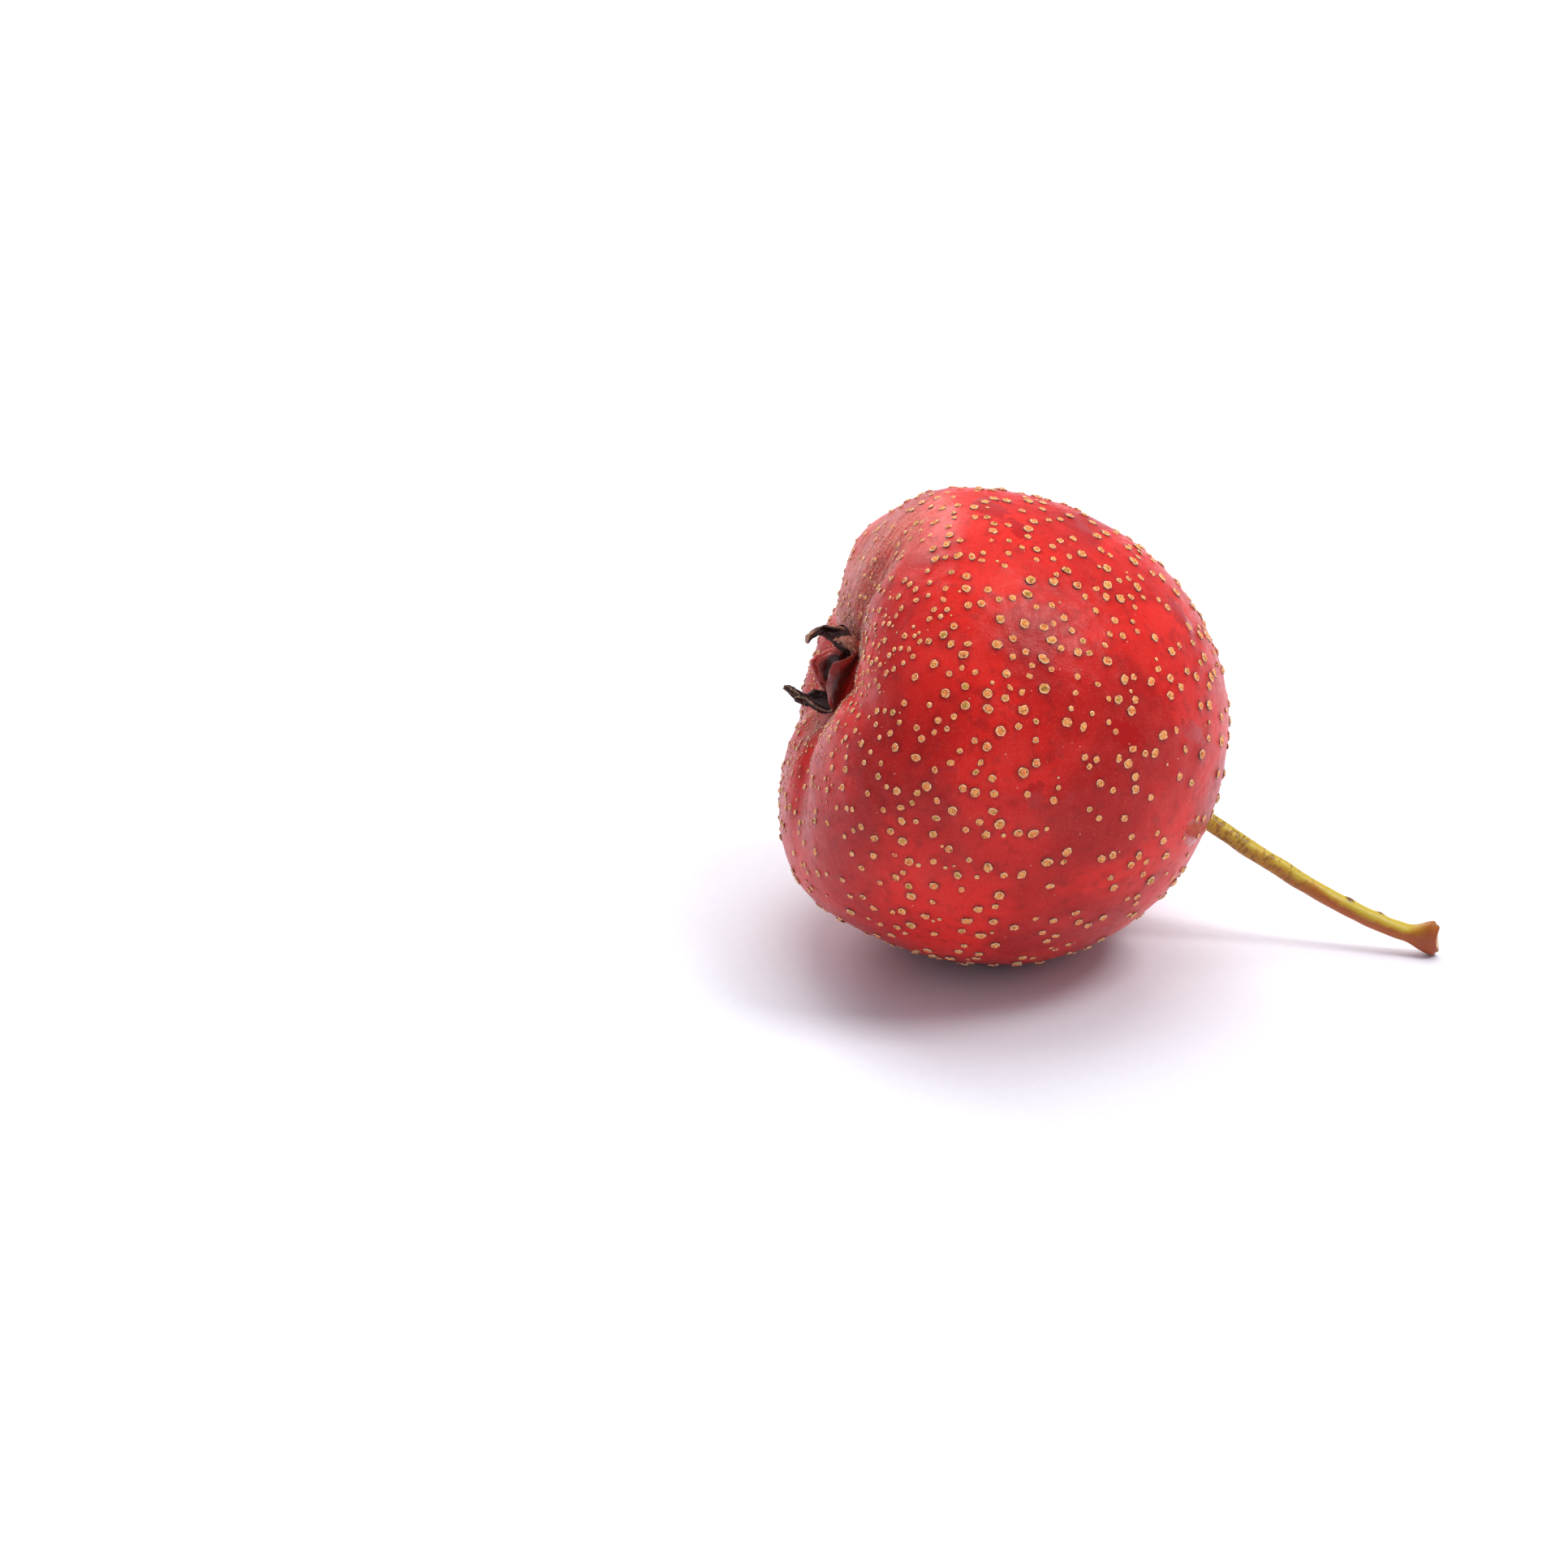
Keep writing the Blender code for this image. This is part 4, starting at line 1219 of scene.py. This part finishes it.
@dataclass
class Stem:
    """The stem: it leaves the cavity, bends down to the surface and ends in two lobes."""

    lie: Lie
    finish: StemBark = field(default_factory=StemBark)
    root_axial: float = 10.4
    yaw: float = -20.0
    run: float = 15.8
    tip_rise: float = 1.25
    pull: tuple[float, float] = (0.40, 0.78)
    pull_height: tuple[float, float] = (4.7, 1.1)
    radius: float = 0.49
    root_extra: float = 0.15
    end_half_height: float = 1.02
    end_half_width: float = 0.62
    end_rounding: float = 0.35
    lobe_reach: float = 0.2
    sides: int = 32
    cuts: int = 99
    end_insets: tuple[float, ...] = (0.07, 0.08, 0.1, 0.13, 0.16, 0.16, 0.14)
    roughness: float = 0.03
    mark_spread: float = 40.0  # round the stem
    # Shares along the stem
    root_zone: tuple[float, float] = (0.0, 0.16)
    flare_zone: tuple[float, float] = (0.86, 0.98)
    rounding_zone: tuple[float, float] = (0.975, 1.0)
    bark_rate: float = 5.0  # of the cross bars along the bark
    # How far the end stands out at each share of its radius
    end_profile: tuple[tuple[float, float], ...] = (
        (0.0, -0.10),
        (0.3, -0.06),
        (0.62, 0.14),
        (0.8, 0.18),
        (0.93, 0.12),
        (1.0, 0.0),
    )
    marks: tuple[StemMark, ...] = (
        StemMark(0.27, 250.0, 0.06, 0.7, "spot"),
        StemMark(0.30, 205.0, 0.05, 0.3, "spot"),
        StemMark(0.42, 230.0, 0.06, 0.4, "spot"),
        StemMark(0.40, 80.0, 0.09, 0.5),
        StemMark(0.62, 90.0, 0.07, 0.3, "fleck"),
        StemMark(0.74, 110.0, 0.09, 0.3, "fleck"),
    )

    def line(self, share: np.ndarray) -> np.ndarray:
        """Points of the stem's middle line, on level axes round the berry's origin."""
        root = self.lie.turn() @ np.array([self.root_axial, 0.0, 0.0])
        yaw = math.radians(self.yaw)
        heading = np.array([math.cos(yaw), math.sin(yaw), 0.0])
        stops = [root]
        for pull, height in zip((*self.pull, 1.0), (*self.pull_height, self.tip_rise)):
            stop = root + heading * self.run * pull
            stop[2] = height - self.lie.rest_height
            stops.append(stop)
        share = share[:, None]
        rest = 1.0 - share
        weights = (rest**3, 3.0 * rest**2 * share, 3.0 * rest * share**2, share**3)
        return sum(weight * stop for weight, stop in zip(weights, stops))

    def build(self) -> Piece:
        """Model the stem."""
        piece = make_rod("fruit_stem", self.sides, self.cuts)
        select_edges(piece, lambda first, second: min(first.z, second.z) > 0.999)
        bpy.ops.mesh.select_mode(type="FACE")
        for width in self.end_insets:
            bpy.ops.mesh.inset(thickness=width, depth=0.0)
        bpy.ops.mesh.poke()
        bpy.ops.object.mode_set(mode="OBJECT")
        self.shape(piece)
        turn_outwards(piece)
        dress(piece, self.finish.make(), 70.0)
        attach(piece, "root")
        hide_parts("stem")
        return piece

    def shape(self, piece: Piece) -> None:
        """Bend and swell the straight rod into the stem, and keep its zones for the material."""
        rod = points_of(piece)
        share = np.clip(rod[:, 2], 0.0, 1.0)
        reach = np.minimum(np.hypot(rod[:, 0], rod[:, 1]), 1.0)
        turn = np.arctan2(rod[:, 1], rod[:, 0])
        azimuth = np.degrees(turn)
        centre = self.line(share)
        ahead, behind = np.minimum(1.0, share + 0.01), np.maximum(0.0, share - 0.01)
        forward = unit(self.line(ahead) - self.line(behind))
        upward = unit(np.array([0.0, 0.0, 1.0]) - forward * forward[:, 2:])
        sideways = np.cross(forward, upward)
        rounding = self.end_rounding * smooth_step(*self.rounding_zone, share) ** 2
        flare = smooth_step(*self.flare_zone, share) - rounding
        root = self.root_extra * (1.0 - smooth_step(*self.root_zone, share))
        tall = self.radius + root + (self.end_half_height - self.radius) * flare
        wide = self.radius + root + (self.end_half_width - self.radius) * flare
        swell = np.zeros(len(rod))
        zones = {"spot": swell.copy(), "fleck": swell.copy()}
        for mark in self.marks:
            along = (share - mark.share) * self.run / mark.half_length
            here = np.exp(-(along**2) - (apart(azimuth, mark.azimuth) / self.mark_spread) ** 2)
            swell += mark.height * here
            if mark.look:
                zones[mark.look] = np.maximum(zones[mark.look], smooth_step(0.45, 0.8, here))
        cos, sin = np.cos(turn), np.sin(turn)
        rough = self.roughness * grain(np.column_stack([cos, sin, share * self.run]), 0.9, 5.0)
        lobe = self.lobe_reach * flare * sin**2
        beside, above = cos * (wide + swell + rough) * reach, sin * (tall + swell + rough) * reach
        out = sideways * beside[:, None] + upward * above[:, None]
        advance = np.where(share > 0.9999, np.interp(reach, *zip(*self.end_profile)), 0.0)
        points = centre + out + forward * (lobe + advance)[:, None]
        lowest = points[:, 2].min() + self.lie.rest_height
        points[:, 2] -= lowest * share**2
        move_points(piece, self.lie.level(points))
        store(piece, "along", share)
        store(piece, "height", sin * reach)
        store(piece, "scar", smooth_step(0.999, 1.0, share) * (1.0 - smooth_step(0.5, 0.85, reach)))
        for name, values in zones.items():
            store(piece, name, values)
        store(piece, "bark", np.column_stack([cos, sin, share * self.run * self.bark_rate]))


@dataclass(frozen=True)
class Sepal:
    """One dried sepal.

    The azimuth and half width are its place on the cup. The angles are from the core, at foot and
    tip. The lean is sideways. A high bluntness gives a round end and a low one a point. The look is
    its stage of drying: 0 is pink flesh, 0.4 glossy dark red, 0.65 brown and 1 black. Notches tear
    the edge, and the shade is how dark the inner side is.
    """

    azimuth: float
    half_width: float
    length: float
    foot_angle: float
    tip_angle: float
    lean: float
    bluntness: float
    thickness: float
    look: float
    ruffle: float
    notches: float = 0.0
    shade: float = 1.0


@dataclass
class Calyx:
    """The dried calyx: a short fleshy cup with five shrunken sepals round a dark hollow."""

    lie: Lie
    finish: DriedSepal = field(default_factory=DriedSepal)
    outer_radius: float = 2.12
    base_axial: float = 7.5
    foot_axial: float = 8.6
    rows: int = 34
    columns: int = 24
    steps: int = 10
    narrowing: float = 0.2
    notch_rate: float = 13.0
    inner_shade_strength: float = 0.92  # how dark the painted shade on the inner side is
    # Shares from the tube's base to the edge
    ragged_zone: tuple[float, float] = (0.35, 1.0)
    shade_zone: tuple[float, float] = (0.6, 0.86)
    thin_zone: tuple[float, float] = (0.7, 1.0)
    sepals: tuple[Sepal, ...] = (
        Sepal(55.0, 32.0, 3.2, 34.0, -84.0, 0.1, 2.6, 0.46, 0.62, 0.11),
        Sepal(103.0, 16.0, 1.5, 20.0, -80.0, -0.5, 1.8, 0.46, 0.55, 0.10, 0.0, 0.3),
        Sepal(179.0, 60.0, 1.6, 60.0, -66.0, -0.8, 1.9, 0.62, 0.40, 0.04),
        Sepal(270.5, 31.5, 2.7, 16.0, -24.0, 0.1, 3.0, 0.28, 0.88, 0.22, 0.5),
        Sepal(342.5, 40.5, 1.3, 22.0, -10.0, 0.0, 2.6, 0.50, 0.05, 0.05, 0.0, 0.1),
    )

    def point(self, sepal: Sepal, across: float, share: float) -> np.ndarray:
        """A point of the calyx's outer side, from the tube's base (0) to the sepal's edge (1)."""
        tube = self.foot_axial - self.base_axial
        blade = sepal.length * (1.0 - abs(across) ** sepal.bluntness)
        blade *= 1.0 - sepal.notches * max(0.0, math.sin(self.notch_rate * across + 1.0))
        travelled = share * (tube + blade)
        beyond = max(0.0, travelled - tube)
        point = spokes(sepal.azimuth + across * sepal.half_width) * self.outer_radius
        point[0] = -self.base_axial - min(travelled, tube)
        middle, beside = spokes(sepal.azimuth), spokes(sepal.azimuth + 90.0)
        stride = beyond / self.steps
        for step in range(self.steps):
            along = (step + 0.5) / self.steps * beyond / sepal.length
            angle = math.radians(sepal.foot_angle + (sepal.tip_angle - sepal.foot_angle) * along)
            point = point + middle * math.sin(angle) * stride + beside * sepal.lean * stride * along
            point[0] -= math.cos(angle) * stride
        narrow = across * smooth_step(0.0, sepal.length, beyond) * self.outer_radius * self.narrowing
        return point - beside * narrow

    def build(self) -> Piece:
        """Model the cup with its sepals."""
        sides = self.columns * len(self.sepals)
        piece = make_rod("dried_calyx", sides, self.rows, "NOTHING")
        rod = points_of(piece)
        turns = np.degrees(np.arctan2(rod[:, 1], rod[:, 0])) / 360.0
        column = np.round(turns * sides).astype(int) % sides
        points = np.zeros_like(rod)
        look, ruffle, shade = (np.zeros(len(rod)) for _ in range(3))
        thick = piece.vertex_groups.new(name="thick")
        fullest = max(sepal.thickness for sepal in self.sepals)
        for index, place in enumerate(column):
            sepal = self.sepals[place // self.columns]
            across = 2.0 * (place % self.columns) / self.columns - 1.0
            share = float(rod[index][2])
            points[index] = self.point(sepal, across, share)
            look[index], ruffle[index] = sepal.look, sepal.ruffle
            # The inner side takes painted shade, full deep in the cup and easing to the sepal's own
            # shade towards the edge
            shade[index] = 1.0 - (1.0 - sepal.shade) * smooth_step(*self.shade_zone, share)
            thinning = 1.0 - 0.5 * smooth_step(*self.thin_zone, share)
            thick.add([index], sepal.thickness / fullest * thinning, "REPLACE")
        share = np.clip(rod[:, 2], 0.0, 1.0)
        ragged = ruffle * smooth_step(*self.ragged_zone, share)
        for axis in range(3):
            coarse, fine = grain(points, 0.55, 4.0 + 3.0 * axis), grain(points, 0.22, 5.0 + axis)
            points[:, axis] += ragged * (coarse + 0.6 * fine) * 2.0
        move_points(piece, self.lie.place(points + self.lie.calyx_centre()))
        store(piece, "share", share)
        store(piece, "look", look)
        turn_outwards(piece)
        apply_modifier(
            piece,
            "SOLIDIFY",
            thickness=fullest * MM,
            offset=-1.0,
            use_even_offset=False,
            vertex_group="thick",
        )
        store(piece, "inner_shade", np.concatenate([np.zeros(len(rod)), self.inner_shade_strength * shade]))
        apply_modifier(piece, "SUBSURF", levels=1, render_levels=1)
        dress(piece, self.finish.make(), 75.0)
        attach(piece, "root")
        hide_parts("calyx")
        return piece


@dataclass
class Stamens:
    """The withered stamens: crooked threads with shrunken heads, on a pad that closes the cup."""

    lie: Lie
    finish: Fibre = field(default_factory=Fibre)
    seed: int = 5
    threads: int = 13
    ring_radius: float = 1.0
    radius: float = 0.09
    head: float = 1.9
    foot_axial: float = 7.5
    lengths: tuple[float, float] = (0.7, 1.5)
    pad_radius: float = 1.75
    pad_height: float = 0.35
    pad_lumps: float = 0.15

    def thread(self, draw: random.Random, index: int) -> Piece:
        """Model one thread with its head."""
        piece = make_rod("thread", 8, 14)
        rod = points_of(piece)
        share = np.clip(rod[:, 2], 0.0, 1.0)
        azimuth = 360.0 * index / self.threads + draw.uniform(-12.0, 12.0)
        out = self.ring_radius * draw.uniform(0.4, 1.1)
        length = draw.uniform(*self.lengths)
        bend, twist = draw.uniform(-0.6, 0.25), draw.uniform(-0.7, 0.7)
        width = self.radius * (1.0 + (self.head - 1.0) * bell((share - 0.93) / 0.07))
        width = width * np.where(share > 0.985, 0.55, 1.0)
        spoke, beside = spokes(azimuth), spokes(azimuth + 90.0)
        sway = twist * share**2 + 0.1 * np.sin(6.0 * share)
        centre = np.outer(out + bend * share**2, spoke) + np.outer(sway, beside)
        centre[:, 0] -= self.foot_axial + length * share
        points = centre + np.outer(rod[:, 0] * width, spoke) + np.outer(rod[:, 1] * width, beside)
        move_points(piece, self.lie.place(points + self.lie.calyx_centre()))
        store(piece, "share", share)
        turn_outwards(piece)
        return piece

    def pad(self) -> Piece:
        """Model the low lumpy pad in the bottom of the cup."""
        deselect()
        bpy.ops.mesh.primitive_uv_sphere_add(segments=28, ring_count=16, radius=1.0)
        piece = named("pad")
        ball = points_of(piece)
        height, (east, north) = self.pad_height * ball[:, 2], self.pad_radius * ball[:, :2].T
        points = np.column_stack([-self.foot_axial - height, east, north])
        points[:, 0] -= self.pad_lumps * grain(points, 0.5, 9.0)
        move_points(piece, self.lie.place(points + self.lie.calyx_centre()))
        store(piece, "share", np.zeros(len(points)))
        turn_outwards(piece)
        return piece

    def build(self) -> Piece:
        """Model the threads and the pad as one piece."""
        draw = random.Random(self.seed)
        threads = (self.thread(draw, index) for index in range(self.threads))
        piece = join([self.pad(), *threads], "withered_stamens")
        dress(piece, self.finish.make())
        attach(piece, "root")
        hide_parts("stamens")
        return piece


# The studio


@dataclass(frozen=True)
class Softbox:
    """A square soft light that faces the berry.

    It hangs in a direction from the berry, at a distance and with a side in metres, and its power is
    in watts. Shiny skin mirrors it unless a polarising sheet takes its reflection out.
    """

    name: str
    towards: tuple[float, float, float]
    distance: float
    side: float
    power: float
    colour: str = "#FFFFFF"
    mirrored: bool = True

    def hang(self, berry: Vector) -> None:
        """Add the light, given the berry's origin in metres."""
        towards = Vector(self.towards).normalized()
        bpy.ops.object.light_add(type="AREA", location=berry + towards * self.distance)
        light = named(self.name)
        light.rotation_euler = towards.to_track_quat("Z", "Y").to_euler()
        light.data.shape = "SQUARE"
        light.data.size = self.side
        light.data.energy = self.power
        light.data.color = linear(self.colour)[:3]
        light.visible_glossy = self.mirrored


@dataclass
class Studio:
    """The pale floor, the soft light and the camera at the picture's angle."""

    lie: Lie
    picture_side: int = 1932  # pixels
    mm_per_pixel: float = 0.0443  # at the berry's origin
    origin_pixel: tuple[float, float] = (1212.0, 896.5)
    elevation: float = 24.0
    yaw: float = 7.0
    lens: float = 100.0
    sensor: float = 36.0
    floor_side: float = 4.0  # metres
    floor_gap: float = 0.02  # millimetres under the berry, so that no faces coincide
    softboxes: tuple[Softbox, ...] = (
        Softbox("key_softbox", (0.1, 0.32, 0.94), 0.55, 0.42, 2.35, "#FFFDF8", False),
        Softbox("front_softbox", (0.47, -0.18, 0.86), 0.6, 0.2, 1.65),
        Softbox("shoulder_softbox", (-0.28, 0.77, 0.57), 0.6, 0.3, 1.3),
    )
    sky: str = "#F1F3FE"
    sky_strength: float = 0.46

    def axes(self) -> tuple[Vector, Vector, Vector]:
        """The camera's right, up and backward directions."""
        yaw, elevation = math.radians(self.yaw), math.radians(self.elevation)
        right = Vector((math.cos(yaw), -math.sin(yaw), 0.0))
        ahead = Vector((math.sin(yaw), math.cos(yaw), 0.0))
        back = -ahead * math.cos(elevation) + Vector((0.0, 0.0, math.sin(elevation)))
        up = ahead * math.sin(elevation) + Vector((0.0, 0.0, math.cos(elevation)))
        return right, up, back

    def camera(self) -> None:
        """Set the camera so that the berry's origin falls on its pixel."""
        right, up, back = self.axes()
        middle = self.picture_side / 2.0
        distance = self.mm_per_pixel * self.picture_side * self.lens / self.sensor
        place = Vector(self.lie.origin()) + back * distance
        place -= right * (self.origin_pixel[0] - middle) * self.mm_per_pixel
        place += up * (self.origin_pixel[1] - middle) * self.mm_per_pixel
        bpy.ops.object.camera_add(location=place * MM)
        camera = named("picture_camera")
        camera.rotation_euler = Matrix((right, up, back)).transposed().to_euler()
        camera.data.lens = self.lens
        camera.data.sensor_width = self.sensor
        camera.data.clip_start = 0.01
        bpy.context.scene.camera = camera

    def build(self) -> None:
        """Set up the floor, the lights, the sky and the camera."""
        deselect()
        beneath = (0.0, 0.0, -self.floor_gap * MM)
        bpy.ops.mesh.primitive_plane_add(size=self.floor_side, location=beneath)
        floor = named("paper_floor")
        floor.data.materials.append(StudioPaper().make())
        floor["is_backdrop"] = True
        for softbox in self.softboxes:
            softbox.hang(Vector(self.lie.origin()) * MM)
        world = bpy.data.worlds.new("white_room")
        world.use_nodes = True
        sky = world.node_tree.nodes["Background"]
        sky.inputs["Color"].default_value = linear(self.sky)
        sky.inputs["Strength"].default_value = self.sky_strength
        bpy.context.scene.world = world
        bpy.context.scene.view_settings.view_transform = "Standard"
        self.camera()


def main() -> None:
    """Build the berry's pieces in order, report each, and work out both boxes."""
    logging.basicConfig(level=logging.INFO, format="%(name)s: %(message)s")
    lie, form = Lie(), SkinForm()
    warts = LenticelRule(form, lie).warts()
    builders = (
        FruitSkin(form, lie, warts),
        Lenticels(form, lie, warts),
        Down(form, lie),
        Stem(lie),
        Calyx(lie),
        Stamens(lie),
    )
    for builder in builders:
        piece = builder.build()
        log.info("%s: %d faces", piece.name, len(piece.data.polygons))
    Studio(lie).build()
    boxes = {"cad": CAD_BOX, "visual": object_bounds()}
    {name: [list(corner) for corner in box] for name, box in boxes.items()}


if __name__ == "__main__":
    main()
